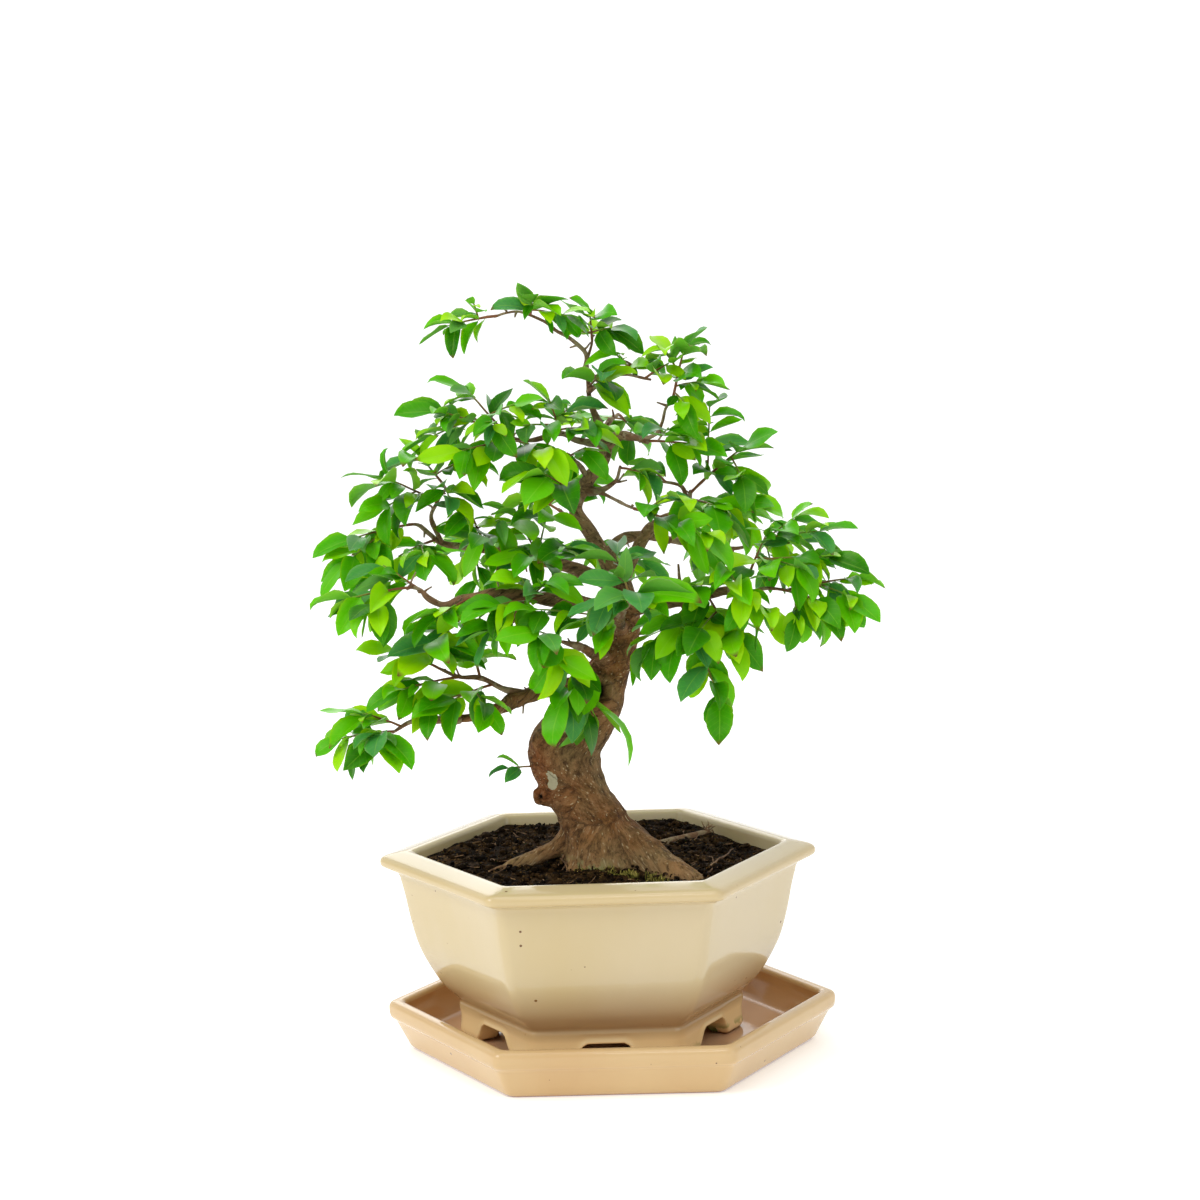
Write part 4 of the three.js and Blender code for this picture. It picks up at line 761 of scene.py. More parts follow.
# Each spray names the limb it grows on, then lists its shoots: how far along its parent a
# shoot starts, x, y and z of its tip, its pairs of leaves, their size, and how far they
# hang. The first shoot grows on the limb, and the others grow on the first one.
SPRAYS = {
    "apex_tip": ["apex", [0.97, -82, -22, 417, 2, 1.0, -0.2],
        [0.39, -68, -24, 429, 2, 0.45, -0.3]],
    "apex_arch": ["apex", [0.66, -36, -18, 428, 2, 1.15, 0.1],
        [0.42, -17, -20, 421, 2, 1.0, 0.15]],
    "crown": ["apexRight", [0.81, -4, 0, 420, 2, 1.05, 0.05], [0.29, 8, -6, 413, 2, 1.05, 0.2],
        [0.29, -17, -8, 410, 2, 1.0, 0.3]],
    "crown_side": ["apexSide", [0.73, 26, 0, 394, 2, 0.95, 0.15], [0.27, 8, -8, 400, 2, 0.9, 0.2]],
    "apex_front": ["leader", [0.955, 1, -18, 387, 2, 1.35, 0.15]],
    "top_right_low": ["topRightLow", [0.93, 39, -14, 393, 2, 1.1, 0.2]],
    "top_right": ["rightRiser", [0.95, 48, -10, 401, 2, 1.2, 0.05],
        [0.24, 57, -22, 383, 2, 1.0, 0.35], [0.5, 37, -14, 401, 2, 1.0, 0.1],
        [0.13, 47, -28, 372, 2, 1.0, 0.8]],
    "upper_left_tip": ["upperLeft", [0.8, -89, -28, 370, 3, 1.1, 0.2],
        [0.41, -95, -8, 354, 2, 1.1, 0.3]],
    "upper_left_top": ["upperLeft", [0.7, -73, -26, 381, 2, 1.15, 0.1],
        [0.43, -47, -26, 373, 2, 0.95, 0.2], [0.15, -58, -44, 364, 2, 1.15, 0.3]],
    "upper_left_low": ["upperLeft", [0.58, -76, -40, 349, 3, 1.2, 0.5],
        [0.13, -29, -40, 348, 2, 1.15, 0.7]],
    "upper_left_right": ["upperLeft", [0.33, -28, -26, 376, 2, 1.05, 0.25],
        [0.36, -14, 4, 370, 2, 1.05, 0.2], [0.2, -42, -36, 362, 2, 1.1, 0.3],
        [0.1, -3, -28, 359, 2, 1.15, 0.3]],
    "left_twig": ["leftTwig", [0.95, -8, -24, 348, 2, 1.0, 0.3],
        [0.24, -27, -28, 338, 2, 0.9, 0.7]],
    "left_top": ["leftRiser", [1.0, -101, -16, 345, 2, 1.35, -0.3],
        [0.39, -75, -22, 343, 2, 1.1, 0.3], [0.2, -84, -30, 322, 2, 1.25, 0.3]],
    "left_far": ["leftRiser", [0.64, -118, -20, 332, 2, 1.45, -0.1],
        [0.43, -120, -20, 317, 2, 1.05, 0.35]],
    "far_left_upper": ["upperMidLeft", [0.96, -140, -18, 299, 3, 1.2, 0.35],
        [0.39, -141, -26, 288, 2, 1.2, 0.4]],
    "far_left_inner": ["upperMidLeft", [0.72, -114, -20, 289, 2, 1.1, 0.4],
        [0.4, -99, -34, 291, 2, 1.15, 0.5]],
    "far_left_lower": ["midLeft", [0.96, -137, -64, 272, 3, 1.25, 0.5],
        [0.36, -126, -70, 268, 2, 1.2, 0.6]],
    "far_left_mid": ["midLeft", [0.83, -121, -44, 287, 2, 1.2, 0.35],
        [0.48, -128, -34, 278, 2, 1.15, 0.4]],
    "low_left_top": ["lowLeftUpper", [0.96, -117, -40, 239, 3, 1.1, 0.3],
        [0.32, -93, -50, 246, 2, 1.4, 0.5]],
    "low_left_mid": ["lowLeftUpper", [0.73, -113, -48, 218, 3, 1.2, 0.3]],
    "low_left_rise": ["lowLeftUpper", [0.48, -77, -18, 244, 2, 1.1, 0.3],
        [0.52, -89, -30, 249, 2, 1.1, 0.4]],
    "low_left_front": ["lowLeftUpper", [0.36, -86, -48, 211, 2, 1.2, 0.4],
        [0.44, -67, -52, 209, 2, 1.05, 0.5], [0.55, -100, -52, 208, 2, 1.1, 0.4]],
    "lowest_upper": ["lowLeft", [0.95, -135, -46, 205, 2, 1.25, 0.25]],
    "lowest_tip": ["lowLeft", [0.99, -147, -46, 191, 3, 1.0, 0.3],
        [0.22, -124, -62, 196, 2, 1.3, 0.6]],
    "front_pair": ["front", [0.98, 17, -74, 273, 1, 1.7, 0.4], [0.38, 1, -74, 270, 2, 1.15, 0.5],
        [0.25, 8, -46, 290, 2, 1.3, 0.3]],
    "front_mid": ["front", [0.47, -10, -64, 258, 2, 1.3, 0.6], [0.35, -40, -60, 263, 2, 1.2, 0.4]],
    "front_left": ["frontLeft", [1.0, -35, -70, 252, 2, 1.35, 0.5],
        [0.28, -27, -70, 236, 2, 1.3, 0.7]],
    "front_hang": ["frontLeft", [0.35, -22, -56, 215, 2, 1.4, 0.8],
        [0.31, -18, -62, 227, 2, 1.2, 0.8], [0.6, -11, -46, 203, 2, 1.35, 0.9]],
    "mid_left": ["midLeft", [0.28, -58, -64, 266, 2, 1.25, 0.5],
        [0.26, -30, -58, 278, 2, 1.15, 0.4], [0.2, -45, -50, 279, 2, 1.15, 0.3],
        [0.68, -61, -66, 253, 2, 1.2, 0.7]],
    "mid_left_out": ["midLeft", [0.51, -90, -62, 261, 2, 1.2, 0.45],
        [0.44, -77, -56, 252, 2, 1.15, 0.5]],
    "inner": ["upperMidLeft", [0.33, -41, -34, 289, 2, 1.25, 0.4],
        [0.15, -17, -30, 293, 2, 1.25, 0.35], [0.18, -48, -20, 312, 2, 1.15, 0.3],
        [0.25, -30, -26, 312, 2, 1.1, 0.35]],
    "inner_left": ["upperMidLeft", [0.54, -75, -16, 316, 2, 1.2, 0.25],
        [0.46, -57, -20, 308, 2, 1.1, 0.3], [0.2, -66, -28, 300, 2, 1.15, 0.4]],
    "front_high": ["frontHigh", [0.9, -31, -48, 336, 2, 1.45, 0.5]],
    "right_fork": ["rightFork", [0.88, 62, -22, 314, 2, 1.6, 0.55]],
    "fork_left": ["forkLeft", [0.93, 27, -6, 335, 1, 0.9, 0.2]],
    "fork_right": ["rightFork", [0.97, 81, -6, 345, 3, 1.15, 0.1],
        [0.75, 79, -14, 328, 2, 1.3, 0.45], [0.32, 62, 0, 367, 3, 1.0, 0.1]],
    "upper_right": ["upperRight", [0.95, 60, -12, 346, 3, 1.2, 0.3],
        [0.19, 38, -26, 358, 2, 1.15, 0.3]],
    "stub": ["stub", [0.97, 23, -20, 333, 2, 1.0, 0.35]],
    "long_thin": ["longThin", [1.0, 56, -56, 301, 3, 1.25, 0.4],
        [0.15, 37, -44, 322, 2, 1.2, 0.25]],
    "right_high": ["rightFork", [0.77, 84, 34, 308, 3, 1.2, 0.3],
        [0.49, 76, 14, 301, 2, 1.25, 0.4]],
    "riser": ["lowRight", [0.68, 92, -27, 299, 1, 0.9, 0.2], [0.8, 108, -32, 308, 2, 1.1, 0.2],
        [0.87, 120, -40, 300, 2, 1.2, 0.15], [0.49, 124, -52, 287, 4, 1.15, 0.25],
        [0.55, 107, -62, 283, 2, 1.2, 0.4]],
    "right_tip": ["lowRight", [0.99, 139, -50, 275, 3, 1.0, 0.5],
        [0.4, 133, -60, 267, 2, 1.2, 0.8]],
    "right_droop": ["lowRight", [0.94, 119, -62, 264, 2, 1.35, 0.7],
        [0.41, 105, -60, 255, 2, 1.0, 0.9]],
    "right_front": ["lowRight", [0.66, 77, -62, 268, 1, 1.1, 0.5],
        [0.5, 67, -58, 284, 2, 1.4, 0.4], [0.5, 90, -60, 259, 2, 1.15, 0.7]],
    "low_right": ["lowRight", [0.38, 42, -50, 249, 2, 1.4, 0.7],
        [0.3, 26, -44, 240, 3, 1.15, 0.7]],
    "low_right_front": ["lowRight", [0.45, 71, -52, 243, 3, 1.35, 0.55],
        [0.42, 52, -66, 250, 2, 1.2, 0.7], [0.15, 48, -56, 275, 2, 1.2, 0.3]],
    "low_right_hang": ["lowRight", [0.33, 62, -66, 212, 4, 1.25, 0.5]],
    "right_level": ["rightLevel", [1.0, 106, 52, 286, 2, 1.15, 0.3],
        [0.41, 97, 36, 275, 2, 1.1, 0.5]],
    "sprout": ["leader", [0.25, -56, -20, 167, 1, 0.7, -0.1]],
    "back_mid": ["back", [1.0, -10, 100, 279, 2, 1.25, 0.4], [0.37, 22, 96, 269, 2, 1.2, 0.4]],
    "back_upper": ["backUpper", [0.99, -42, 70, 313, 2, 1.2, 0.4],
        [0.39, -15, 66, 321, 2, 1.15, 0.3]],
    "back_top": ["backTop", [1.0, 20, 62, 349, 2, 1.15, 0.3], [0.33, -8, 60, 358, 2, 1.15, 0.3]],
    "back_right": ["backRight", [1.0, 83, 96, 301, 2, 1.2, 0.4],
        [0.33, 59, 104, 274, 2, 1.2, 0.5]],
    "back_left": ["backLeft", [1.0, -87, 80, 286, 2, 1.2, 0.4], [0.47, -73, 84, 258, 2, 1.2, 0.5]],
}


# A leaf's usual length, in mm, and its width as a share of that.
LEAF_LENGTH = 23
LEAF_WIDTH = 0.55
# A stem runs straight over stretches about this long.
STEM_STEP = 26
# The room in mm that a blade keeps to wood, stems, leaves of its own spray and other sprays.
CLEAR_WOOD = 1.2
CLEAR_STEM = 1.3
CLEAR_OWN = 2.2
CLEAR_OTHER = 3


def draws(state):
    """An endless run of repeatable numbers between 0 and 1: each state is the one before
    times 1664525, plus 1013904223, cut to 32 bits."""
    while True:
        state = (state * 1664525 + 1013904223) & 0xFFFFFFFF
        yield state / 4294967296


def arc_point(shoot, u):
    """A place on a shoot's arc, the quadratic curve over its start, middle and end."""
    start, middle, end = shoot["arc"]
    u = np.asarray(u, float)[..., None]
    return (1 - u) ** 2 * start + 2 * u * (1 - u) * middle + u ** 2 * end


def plan_shoots():
    """Every shoot of every spray: a plain arc that rises a little between its ends."""
    shoots = []
    for spray, (limb, *rows) in SPRAYS.items():
        main = None
        for at, *tip, pairs, size, droop in rows:
            start = arc_point(main, at) if main else catmull(limbs[limb][:, :3], [at])[0]
            end = np.array(tip, float)
            length = np.linalg.norm(end - start)
            middle = 0.5 * (start + end) + [0, 0, 0.05 * length]
            shoot = {"spray": spray, "arc": (start, middle, end), "length": length,
                     "pairs": pairs, "size": size, "droop": droop, "first": main is None}
            stretches = max(1, math.floor(length / STEM_STEP + 0.5))
            shoot["path"] = arc_point(shoot, np.linspace(0, 1, stretches + 1))
            main = main or shoot
            shoots.append(shoot)
    return shoots


def on_stem(path, u):
    """A place on a shoot's stem, which runs straight from point to point of its path."""
    place = u * (len(path) - 1)
    i = min(int(place), len(path) - 2)
    return path[i] + (path[i + 1] - path[i]) * (place - i)


def try_leaf(shoot, u, side, last, round_at, d, again, **form):
    """One try at a leaf of a form: it leaves the shoot at an angle `spread`, turned
    `round_at` about it, hangs by the shoot's droop, and faces up with some scatter."""
    ends = arc_point(shoot, np.clip([u - 1e-4, u + 1e-4], 0, 1))
    along = unit(ends[1] - ends[0])
    level = np.array([along[1], -along[0], 0])
    if np.linalg.norm(level) < 0.25:
        level = np.array([1, 0, 0]) - along * along[0]
    level = unit(level)
    rise = np.cross(level, along)
    swing = round_at + 0.5 * (d[0] - 0.5) + (0, 0.45, -0.45, 0.9, -0.9, 1.3, -1.3)[again]
    spread = 0.15 + 0.2 * d[1] if last else 0.85 + 0.5 * (d[1] - 0.5)
    out = level * math.cos(swing) + rise * math.sin(swing)
    axis = along * math.cos(spread) + out * math.sin(spread) * (side or 1)
    axis -= [0, 0.1, 0.5 * shoot["droop"] ** 2 + 0.6 * (d[2] - 0.5) + 0.03 * again]
    axis = unit(axis)
    axis[2] = min(axis[2], 0.4 - 0.7 * shoot["droop"])
    axis = unit(axis)
    normal = np.array([1.5 * (d[3] - 0.5), 1.6 * (d[4] - 0.5) - 0.4, 1])
    normal -= axis * (normal @ axis)
    if np.linalg.norm(normal) < 0.3:
        normal = along - axis * (along @ axis)
    normal = unit(normal)
    return {"base": on_stem(shoot["path"], u) - axis * last, "axis": axis, "normal": normal,
            "side": np.cross(axis, normal), "curl": 0.15 + 0.6 * d[7],
            "spray": shoot["spray"], **form}


# The test points of a blade: 5 rows along it by 5 across, and its half width at each.
SKIN_T, SKIN_Q = np.meshgrid([0.2, 0.4, 0.6, 0.8, 1], [-1, -0.5, 0, 0.5, 1], indexing="ij")
SKIN_HALF = 0.5 * np.interp(SKIN_T, [0, 0.08, 0.34, 0.66, 1], [0, 0.1, 1, 0.82, 0]) * SKIN_Q


def over_leaf(leaf):
    """The test points of a blade: its midrib bends down in an arc of `curl` radians."""
    bend = leaf["curl"] * SKIN_T[..., None]
    reach = leaf["length"] / leaf["curl"]
    skin = leaf["base"] + leaf["axis"] * reach * np.sin(bend)
    skin = skin - leaf["normal"] * reach * (1 - np.cos(bend))
    return (skin + leaf["side"] * leaf["width"] * SKIN_HALF[..., None]).reshape(-1, 3)


def nearest(first, second):
    """The squared distance from each point of `second` to the nearest of `first`."""
    return ((second[:, None] - first[None]) ** 2).sum(axis=2).min(axis=1)


class Foliage:
    """The leaves grown so far, and the room that wood, stems and blades take up."""

    def __init__(self, shoots):
        samples = []
        for limb in limbs.values():
            steps = 2 * (len(limb) - 1)
            places = catmull(limb[:, :3], np.linspace(0, 1, steps + 1))
            low, high = np.arange(steps + 1) // 2, (np.arange(steps + 1) + 1) // 2
            radius = 0.5 * (limb[low, 3] + limb[high, 3])
            samples.append(np.column_stack([places, radius]))
        self.wood = np.vstack(samples)
        along = np.arange(2, 11) / 10
        self.stems = np.vstack([arc_point(s, along) for s in shoots])
        self.stem_shoot = np.repeat(np.arange(len(shoots)), len(along))
        self.stem_spray = np.repeat([s["spray"] for s in shoots], len(along))
        self.leaves = []
        self.skins = np.zeros((0, SKIN_T.size, 3))
        self.lengths = np.zeros(0)
        self.sprays = np.zeros(0, dtype=self.stem_spray.dtype)

    def is_clear(self, points, length, shoot, number, eased):
        """Whether a blade keeps clear of wood, of stems and of the other blades."""
        if np.any(nearest(points, self.wood[:, :3]) < (self.wood[:, 3] + CLEAR_WOOD * eased) ** 2):
            return False
        own = self.stem_shoot == number
        if np.any(nearest(points[5:], self.stems[own]) < (CLEAR_STEM * eased) ** 2):
            return False
        others, kin = self.stems[~own], self.stem_spray[~own] == shoot["spray"]
        clear = np.where(kin, CLEAR_STEM, CLEAR_OTHER) * eased
        if np.any(nearest(points, others) < clear ** 2):
            return False
        far = np.linalg.norm(self.skins[:, 12] - points[12], axis=1)
        close = far <= 0.75 * (length + self.lengths)
        if not close.any():
            return True
        gaps = self.skins[close].reshape(-1, 3)
        clear = np.where(self.sprays[close] == shoot["spray"], CLEAR_OWN, CLEAR_OTHER) * eased
        return not np.any(nearest(points, gaps) < np.repeat(clear, SKIN_T.size) ** 2)

    def grow(self, tries, shoot, number, eased=1.0):
        """Keeps the first of some tries at a leaf that has room."""
        for leaf in tries:
            points = over_leaf(leaf)
            if self.is_clear(points, leaf["length"], shoot, number, eased):
                self.leaves.append(leaf)
                self.skins = np.concatenate([self.skins, points[None]])
                self.lengths = np.append(self.lengths, leaf["length"])
                self.sprays = np.append(self.sprays, leaf["spray"])
                return


shoots = plan_shoots()
foliage = Foliage(shoots)
LEAF_SEED = 7
luck = draws(LEAF_SEED)
for number, shoot in enumerate(shoots):
    turn = 0.6 * (next(luck) - 0.5)
    for i in range(shoot["pairs"], -1, -1):
        last = i == shoot["pairs"]
        inner = 0.38 + 0.47 * i / max(shoot["pairs"] - 1, 1)
        u = 1 if last else 0.8 if shoot["pairs"] == 1 else inner
        for side in [0] if last else [-1, 1]:
            d = [next(luck) for _ in range(8)]
            length = (LEAF_LENGTH + 5 * (d[5] - 0.5)) * shoot["size"]
            length *= 0.94 if i >= shoot["pairs"] - 1 else 1
            width = length * (LEAF_WIDTH + 0.1 * (d[6] - 0.5))
            round_at = (0.15 if i % 2 == 0 else 0.6) + turn
            foliage.grow((try_leaf(shoot, u, side, last, round_at, d, again, length=length,
                                   width=width, age=d[0]) for again in range(7)), shoot, number)

# A second growth: young and inner leaves, smaller, that fill the room between the others.
chance = np.random.default_rng(23)
for number, shoot in enumerate(shoots):
    if shoot["spray"] == "sprout":
        continue
    for place in range(4 + int(shoot["length"] / 10)):
        d = chance.random(10)
        u = 0.15 + 0.85 * d[8]
        length = LEAF_LENGTH * shoot["size"] * (0.45 + 0.45 * d[9])
        width = length * (0.46 + 0.14 * d[6])
        age = d[0] * (0.12 if d[1] < 0.5 else 1)
        foliage.grow((try_leaf(shoot, u, 1, False, 6.3 * d[0] + again, d, again, length=length,
                               width=width, age=age) for again in range(5)), shoot, number, 0.6)

# One long leaf in front of the trunk hangs out to the right, and its tip curls under.
start, chord = np.array([-6.0, -52, 207]), np.array([20.0, -8, -30])
facing = unit(np.cross(chord, [0.5, 1, 0]))
axis = unit(unit(chord) + 0.9 * facing)
facing = unit(facing - axis * (facing @ axis))
foliage.leaves.append({
    "spray": "front_hang", "base": start, "axis": axis, "normal": facing, "length": 42.0,
    "side": np.cross(axis, facing), "curl": 1.7, "width": 12.0, "age": 0.3})

# A blade's rows along its length, with the half width at each, and its thickness in mm. Its
# upper skin has 9 rows by 5 columns of points, and the lower one shares those at the rim.
BLADE_AT = np.array([0, 0.06, 0.13, 0.27, 0.44, 0.62, 0.78, 0.9, 1.0])
BLADE_HALF = np.array([0.05, 0.07, 0.42, 0.86, 1.0, 0.93, 0.69, 0.34, 0.03])
BLADE_THICK = 0.34
UPPER, LOWER = 45, 21
top = np.arange(UPPER).reshape(9, 5)
under = top.copy()
under[1:-1, 1:-1] = UPPER + np.arange(LOWER).reshape(7, 3)
quads = grid_faces(9, 5, False)
blade_faces = np.vstack([quads, under.ravel()[quads][:, [0, 3, 2, 1]]])
rim = [*zip(top[0, :-1], top[0, 1:]), *zip(top[-1, :-1], top[-1, 1:])]
rim += [*zip(top[:-1, 0], top[1:, 0]), *zip(top[:-1, -1], top[1:, -1])]
rim = np.array(rim)


def blades(leaves, chance):
    """The skins of many leaves at once. Down the blade the midrib's bend grows with the
    share of length and more at the drip tip, and each step follows the bend. Across it,
    both halves rise by the fold, with a wave at the edge."""
    n = len(leaves)
    base, axis, normal, side, length, width, curl = (
        np.array([leaf[key] for leaf in leaves])[:, None]
        for key in ("base", "axis", "normal", "side", "length", "width", "curl"))
    s, q = BLADE_AT[None], np.linspace(-1, 1, 5)[None, None]
    tip_bend = chance.uniform(-0.4, 1.2, (n, 1)) * np.clip((s - 0.7) / 0.3, 0, 1) ** 1.5
    bend = curl * s + tip_bend
    step = np.diff(s, axis=1) * length
    middle = 0.5 * (bend[:, 1:] + bend[:, :-1])
    ahead = np.pad(np.cumsum(step * np.cos(middle), axis=1), ((0, 0), (1, 0)))
    down = np.pad(np.cumsum(step * np.sin(middle), axis=1), ((0, 0), (1, 0)))
    sickle = chance.uniform(-0.07, 0.07, (n, 1)) * length * s ** 2
    spine = base + axis * ahead[..., None] - normal * down[..., None] + side * sickle[..., None]
    up = normal * np.cos(bend)[..., None] + axis * np.sin(bend)[..., None]
    half = 0.5 * width * BLADE_HALF * chance.uniform(0.86, 1.0, (n, 1))
    fold = chance.uniform(0.05, 0.7, (n, 1, 1))
    wave = np.sin(chance.uniform(4, 8, (n, 1, 1)) * s[..., None]
                  + chance.uniform(0, 6.3, (n, 1, 1)) + 0.9 * np.sign(q))
    out = half[..., None] * q * np.cos(fold)
    rise = half[..., None] * (np.abs(q) ** 0.9 * np.sin(fold) + 0.2 * wave * q ** 2)
    skin = spine[:, :, None] + side[:, :, None] * out[..., None] + up[:, :, None] * rise[..., None]
    thick = 0.5 * BLADE_THICK * up[:, :, None] * (1 - q[..., None] ** 2)
    over, below = skin + thick, (skin - thick)[:, 1:-1, 1:-1]
    return np.concatenate([over.reshape(n, UPPER, 3), below.reshape(n, LOWER, 3)], axis=1)


leaf_skin, tree, shader = start_material("syzygium_leaf")
coords = add(tree, "ShaderNodeTexCoord").outputs["Object"]
uv = add(tree, "ShaderNodeUVMap", uv_map="UVMap").outputs["UV"]
uv = add(tree, "ShaderNodeSeparateXYZ", {"Vector": uv})
off = calc(tree, "ABSOLUTE", calc(tree, "SUBTRACT", uv.outputs["X"], 0.5))
# The midrib is a pale line, and side veins run from it to the edge, slanting forwards.
vein = calc(tree, "MULTIPLY", calc(tree, "MULTIPLY_ADD", off, -0.35, uv.outputs["Y"]), 16.0)
vein = ramp(tree, calc(tree, "PINGPONG", vein, 1.0), [(0.0, 0.1), (0.14, 0.0)])
veins = calc(tree, "MAXIMUM", vein, ramp(tree, off, [(0.008, 0.25), (0.03, 0.0)]))
below = stored(tree, "below")
burnt = calc(tree, "MULTIPLY", stored(tree, "burnt"),
             ramp(tree, uv.outputs["Y"], [(0.88, 0.0), (0.97, 1.0)]))
stem = stored(tree, "stem")
colour = ramp(tree, stored(tree, "age"),
              [(0.0, "#a0d600"), (0.25, "#68be00"), (0.6, "#3d9800"), (1.0, "#115203")])
colour = coats(tree, colour,
               (calc(tree, "MULTIPLY", spots(tree, coords, 14, 0.5, 4.0, 0.15), 0.3), "#52aa00"),
               # Some leaves get a grey-blue painted sheen.
               (stored(tree, "dust_and_sheen"), "#3a8040"),
               (veins, "#97d238"),
               (calc(tree, "MULTIPLY", below, 0.6), "#74b038"),
               (burnt, "#5c3a1c"),
               (calc(tree, "GREATER_THAN", stem, 0.1),
                ramp(tree, stem, [(0.3, "#6f9a35"), (0.55, "#8a6a3c"), (0.8, "#84523a")])))
set_inputs(tree, shader, {
    "Base Color": colour, "Roughness": slope(tree, below, (0.0, 1.0), (0.34, 0.6)),
    "Specular IOR Level": 0.22, "Specular Tint": (0.9, 1.0, 0.5, 1), "Subsurface Weight": 0.2,
    "Subsurface Radius": (0.5, 1.0, 0.2), "Subsurface Scale": 1.2 * MM,
    "Normal": relief(tree, veins, 0.35, 0.25, invert=True)})

blade_uv = np.stack(np.meshgrid(np.linspace(0, 1, 5), BLADE_AT), -1)
blade_uv = np.vstack([blade_uv.reshape(-1, 2), blade_uv[1:-1, 1:-1].reshape(-1, 2)])
STEM_SIDES = 8
for spray in SPRAYS:
    leaves = [leaf for leaf in foliage.leaves if leaf["spray"] == spray]
    skins = blades(leaves, chance).reshape(-1, 3)
    shift = np.arange(len(leaves))[:, None, None] * (UPPER + LOWER)
    faces = (blade_faces[None] + shift).reshape(-1, 4)
    edges = (rim[None] + shift).reshape(-1, 2)
    stems, brown = [], []
    for shoot in (s for s in shoots if s["spray"] == spray):
        foot = 0.6 + 0.008 * shoot["length"] if shoot["first"] else 0.55
        u = np.linspace(0, 1, max(4, int(shoot["length"] / 4)))
        line = arc_point(shoot, u) + 0.5 * np.sin(9 * u)[:, None] * (u * (1 - u))[:, None]
        girth = np.interp(u, [0, 1], [foot, 0.4]) * (1 + 0.12 * np.sin(40 * u))
        stems.append(tube(line, girth, STEM_SIDES))
        tones = np.interp(u, [0, 0.5, 1], [1.0, 0.75, 0.3] if shoot["first"] else [0.7, 0.4, 0.3])
        brown.append(np.repeat(np.pad(tones, 2, mode="edge"), STEM_SIDES))
    stem_points, stem_faces = join(stems)
    points, faces = join([(skins, faces), (stem_points, stem_faces)])
    count, no_stem = len(leaves), np.zeros(len(stem_points))

    def spread(values):
        """One number for each leaf, given to all its points, and 0 for the stems."""
        return np.append(np.repeat(np.asarray(values, float), UPPER + LOWER), no_stem)

    # The two large old leaves in front and a few others get a grey-blue painted sheen.
    sheen_chance = 0.8 if spray == "front_pair" else 0.14
    piece = make_piece(
        "leaves_" + spray, points, faces, leaf_skin,
        uv=np.vstack([np.tile(blade_uv, (count, 1)), stem_points[:, :2] * 0]), sharp=edges,
        marks={"age": spread([leaf["age"] for leaf in leaves]),
               "dust_and_sheen": spread(0.8 * (chance.random(count) < sheen_chance)),
               "burnt": spread(chance.random(count) < 0.2),
               "stem": np.append(np.zeros(len(skins)), np.concatenate(brown)),
               "below": np.append(np.tile(np.repeat([0.0, 1.0], len(quads)), count),
                                  np.zeros(len(stem_faces)))})
    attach(piece, "root")
    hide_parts("spray_" + spray)


# Moss and litter: olive moss grows in a strip along the foot of the trunk in front. Bare
# rootlets hang from the left root and end the loose one, and bits of straw lie about.
cushion_moss, tree, shader = start_material("olive_cushion_moss")
colour = ramp(tree, stored(tree, "tone"), [(0.0, "#343a12"), (0.5, "#75702a"), (1.0, "#b5a65a")])
set_inputs(tree, shader, {"Base Color": colour, "Roughness": 0.9, "Specular IOR Level": 0.2})


def threads(starts, leans, lengths, thickness, sides):
    """Thin bent tubes: each leaves its start along its lean and curls by chance."""
    made = []
    for start, lean, length in zip(starts, leans, lengths):
        curl = chance.normal(0, 0.35, 3)
        route = start + length * np.outer([0, 0.35, 0.7, 1], unit(lean))
        route += length * np.outer([0, 0.05, 0.3, 0.7], curl)
        made.append(tube(route, thickness * np.array([1, 1, 0.8, 0.5]), sides))
    return made


strip = catmull([[-17, -32, 0], [-8, -38, 0], [8, -48, 0], [20, -56, 0], [30, -64, 0]],
                chance.random(1100) ** 0.9)
strip[:, :2] += chance.normal(0, 2.2, (len(strip), 2)) * (0.7 + bumps(strip, 6, 5)[:, None])
# The moss stands in loose tufts, with bare soil between them.
tuft = bumps(strip, 3.5, 6)
strip, tuft = strip[tuft > 0], tuft[tuft > 0]
strip[:, 2] = soil_height(strip[:, 0], strip[:, 1]) - 0.6
lean = chance.normal(0, 1, strip.shape) + [0, -0.5, 0.9]
height = chance.uniform(1.2, 2.8, len(strip)) * (1 + 0.4 * tuft)
points, faces = join(threads(strip, lean, height, 0.27, 4))
shades = np.clip(chance.normal(0.5, 0.3, len(strip)), 0, 1)
shades = np.repeat(shades, len(points) // len(strip))
moss = make_piece("moss_strip", points, faces, cushion_moss, marks={"tone": shades})
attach(moss, "root")

bits = []
for start, end, thick in [
        [(-19, -24, 119), (-21, -29, 109), 1.0], [(-22, -24, 118), (-27, -30, 109), 0.8],
        [(-26, -22, 117), (-31, -28, 109), 0.6], [(-14, -28, 118), (-16, -34, 109), 0.9],
        [(-8, -30, 117), (-11, -38, 110), 1.1], [(-28, -24, 115), (-24, -33, 110), 0.5],
        [(-56, -22, 111), (-68, -33, 110.5), 1.1], [(-54, -20, 111), (-64, -36, 110), 0.5],
        [(50, -50, 109), (62, -33, 110), 0.7], [(55, -36, 110.5), (65, -10, 111.5), 0.8],
        [(62, -18, 111), (72, 8, 111), 0.6], [(59, -24, 111), (56, -12, 112), 0.4]]:
    ends = np.array([start, end], float)
    route = catmull([ends[0], ends.mean(axis=0) + [1.2, 0, 1], ends[1]], np.linspace(0, 1, 8))
    route += 0.8 * shake(route, 5, 7)
    bits.append(tube(route, thick * np.linspace(1, 0.5, 8), 8))
tip = np.tile(ROOTS["rootThin"][-1][:3], (12, 1)) + chance.normal(0, 1.2, (12, 3))
lean = chance.normal(0, 1, tip.shape) + [0.7, 0, 0.4]
bits += threads(tip, lean, chance.uniform(2, 4.5, 12), 0.35, 5)
STRAWS = 110
turn = 2 * math.pi * chance.random(STRAWS)
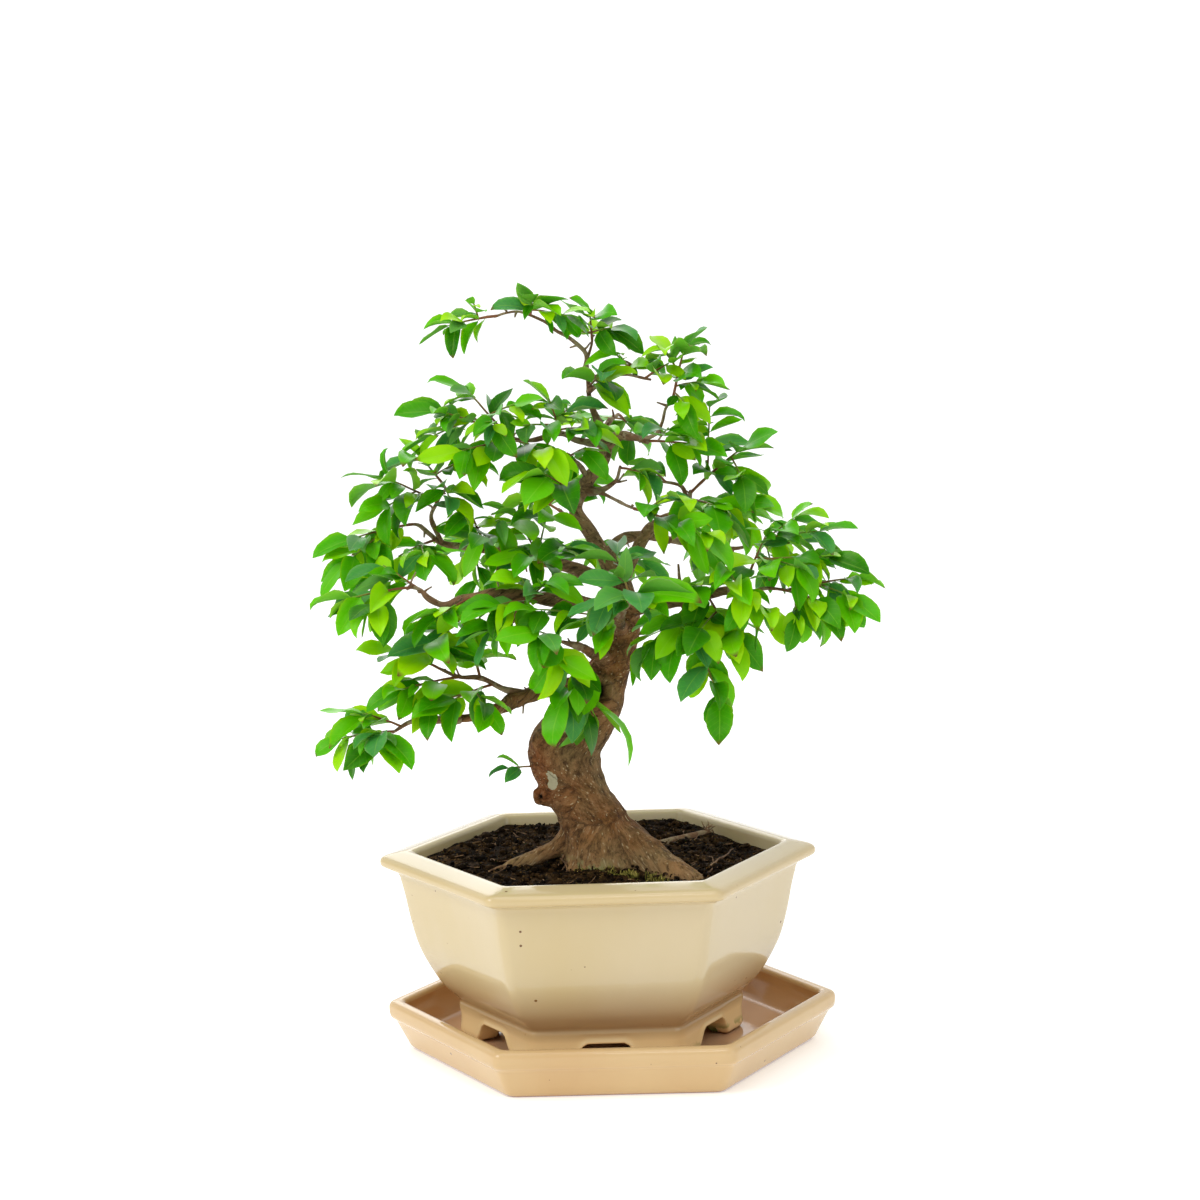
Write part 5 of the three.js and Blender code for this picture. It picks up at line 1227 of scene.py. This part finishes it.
straw = 86 * np.sqrt(chance.random((STRAWS, 1))) * np.stack([np.cos(turn), np.sin(turn)], -1)
straw = straw + [POT_X, 0]
straw = np.column_stack([straw, soil_height(*straw.T) + 0.9])
lean = chance.normal(0, 1, straw.shape) * [1, 1, 0.15]
bits += threads(straw, lean, chance.uniform(2.5, 8, STRAWS), 0.3, 5)
points, faces = join(bits)
dry_root, tree, shader = start_material("dry_root_fibre")
coords = add(tree, "ShaderNodeTexCoord").outputs["Object"]
colour = coats(tree, "#8a6844", (spots(tree, coords, 3, 0.5, 4.0, 0.1), "#563c25"))
set_inputs(tree, shader, {"Base Color": colour, "Roughness": 0.8})
litter = make_piece("rootlets_and_straw", points, faces, dry_root)
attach(litter, "root")


# Studio: a pale floor that curves up into a backdrop, and large soft lights.
sweep = np.linspace(0.15, math.pi / 2, 12)
floor_y = np.concatenate([np.linspace(-3000, 1500, 10), 1500 + 1200 * np.sin(sweep), [2700]])
floor_z = np.concatenate([np.zeros(10), 1200 * (1 - np.cos(sweep)), [4000]])
floor_x = np.array([-4000.0, 4000.0])
floor_points = np.stack(np.broadcast_arrays(floor_x[None], floor_y[:, None], floor_z[:, None]), -1)
backdrop, tree, shader = start_material("white_paper_backdrop")
set_inputs(tree, shader, {
    "Base Color": linear("#f7f7f6"), "Roughness": 0.9, "Specular IOR Level": 0.1,
    "Emission Color": (1, 1, 1, 1), "Emission Strength": 0.3})
floor = make_piece("studio_floor", floor_points.reshape(-1, 3),
                   grid_faces(len(floor_y), 2, False), backdrop)
TREE_MIDDLE = (0, 0, 230)


def soft_light(name, place, size, watts):
    """A square area light of `size` mm at `place` mm that faces the middle of the tree."""
    lamp = bpy.data.lights.new(name, "AREA")
    lamp.size = size * MM
    lamp.energy = watts
    holder = bpy.data.objects.new(name, lamp)
    holder.location = Vector(place) * MM
    aim = Vector(TREE_MIDDLE) - Vector(place)
    holder.rotation_euler = aim.to_track_quat("-Z", "Y").to_euler()
    bpy.context.scene.collection.objects.link(holder)


soft_light("key_light", (-1400, -850, 1250), 900, 15.5)
soft_light("fill_light", (1300, -1000, 700), 1000, 3.4)
soft_light("top_light", (-100, -100, 1700), 1100, 6.5)
soft_light("rim_light", (250, -1500, 1500), 500, 3.5)
soft_light("back_light", (-300, 1500, 900), 900, 4)
world = bpy.data.worlds.new("studio")
world.use_nodes = True
set_inputs(world.node_tree, world.node_tree.nodes["Background"],
           {"Color": (1, 1, 1, 1), "Strength": 0.65})
bpy.context.scene.world = world
bpy.context.scene.view_settings.view_transform = "Standard"

# Camera: at the photograph's angle, looking down by 8 degrees and rolled by a degree.
CAMERA_AT = (-2.0, -1676.66, 492.09)
CAMERA_TO = (-2.0, 0.0, 259.0)
CAMERA_ROLL = math.radians(-1.27)
lens = bpy.data.cameras.new("camera")
lens.sensor_width = 36
lens.lens = 89.54
camera = bpy.data.objects.new("camera", lens)
camera.location = Vector(CAMERA_AT) * MM
camera.rotation_mode = "QUATERNION"
facing = (Vector(CAMERA_TO) - Vector(CAMERA_AT)).to_track_quat("-Z", "Y")
camera.rotation_quaternion = facing @ Quaternion((0, 0, 1), CAMERA_ROLL)
bpy.context.scene.collection.objects.link(camera)
bpy.context.scene.camera = camera

bpy.context.view_layer.update()
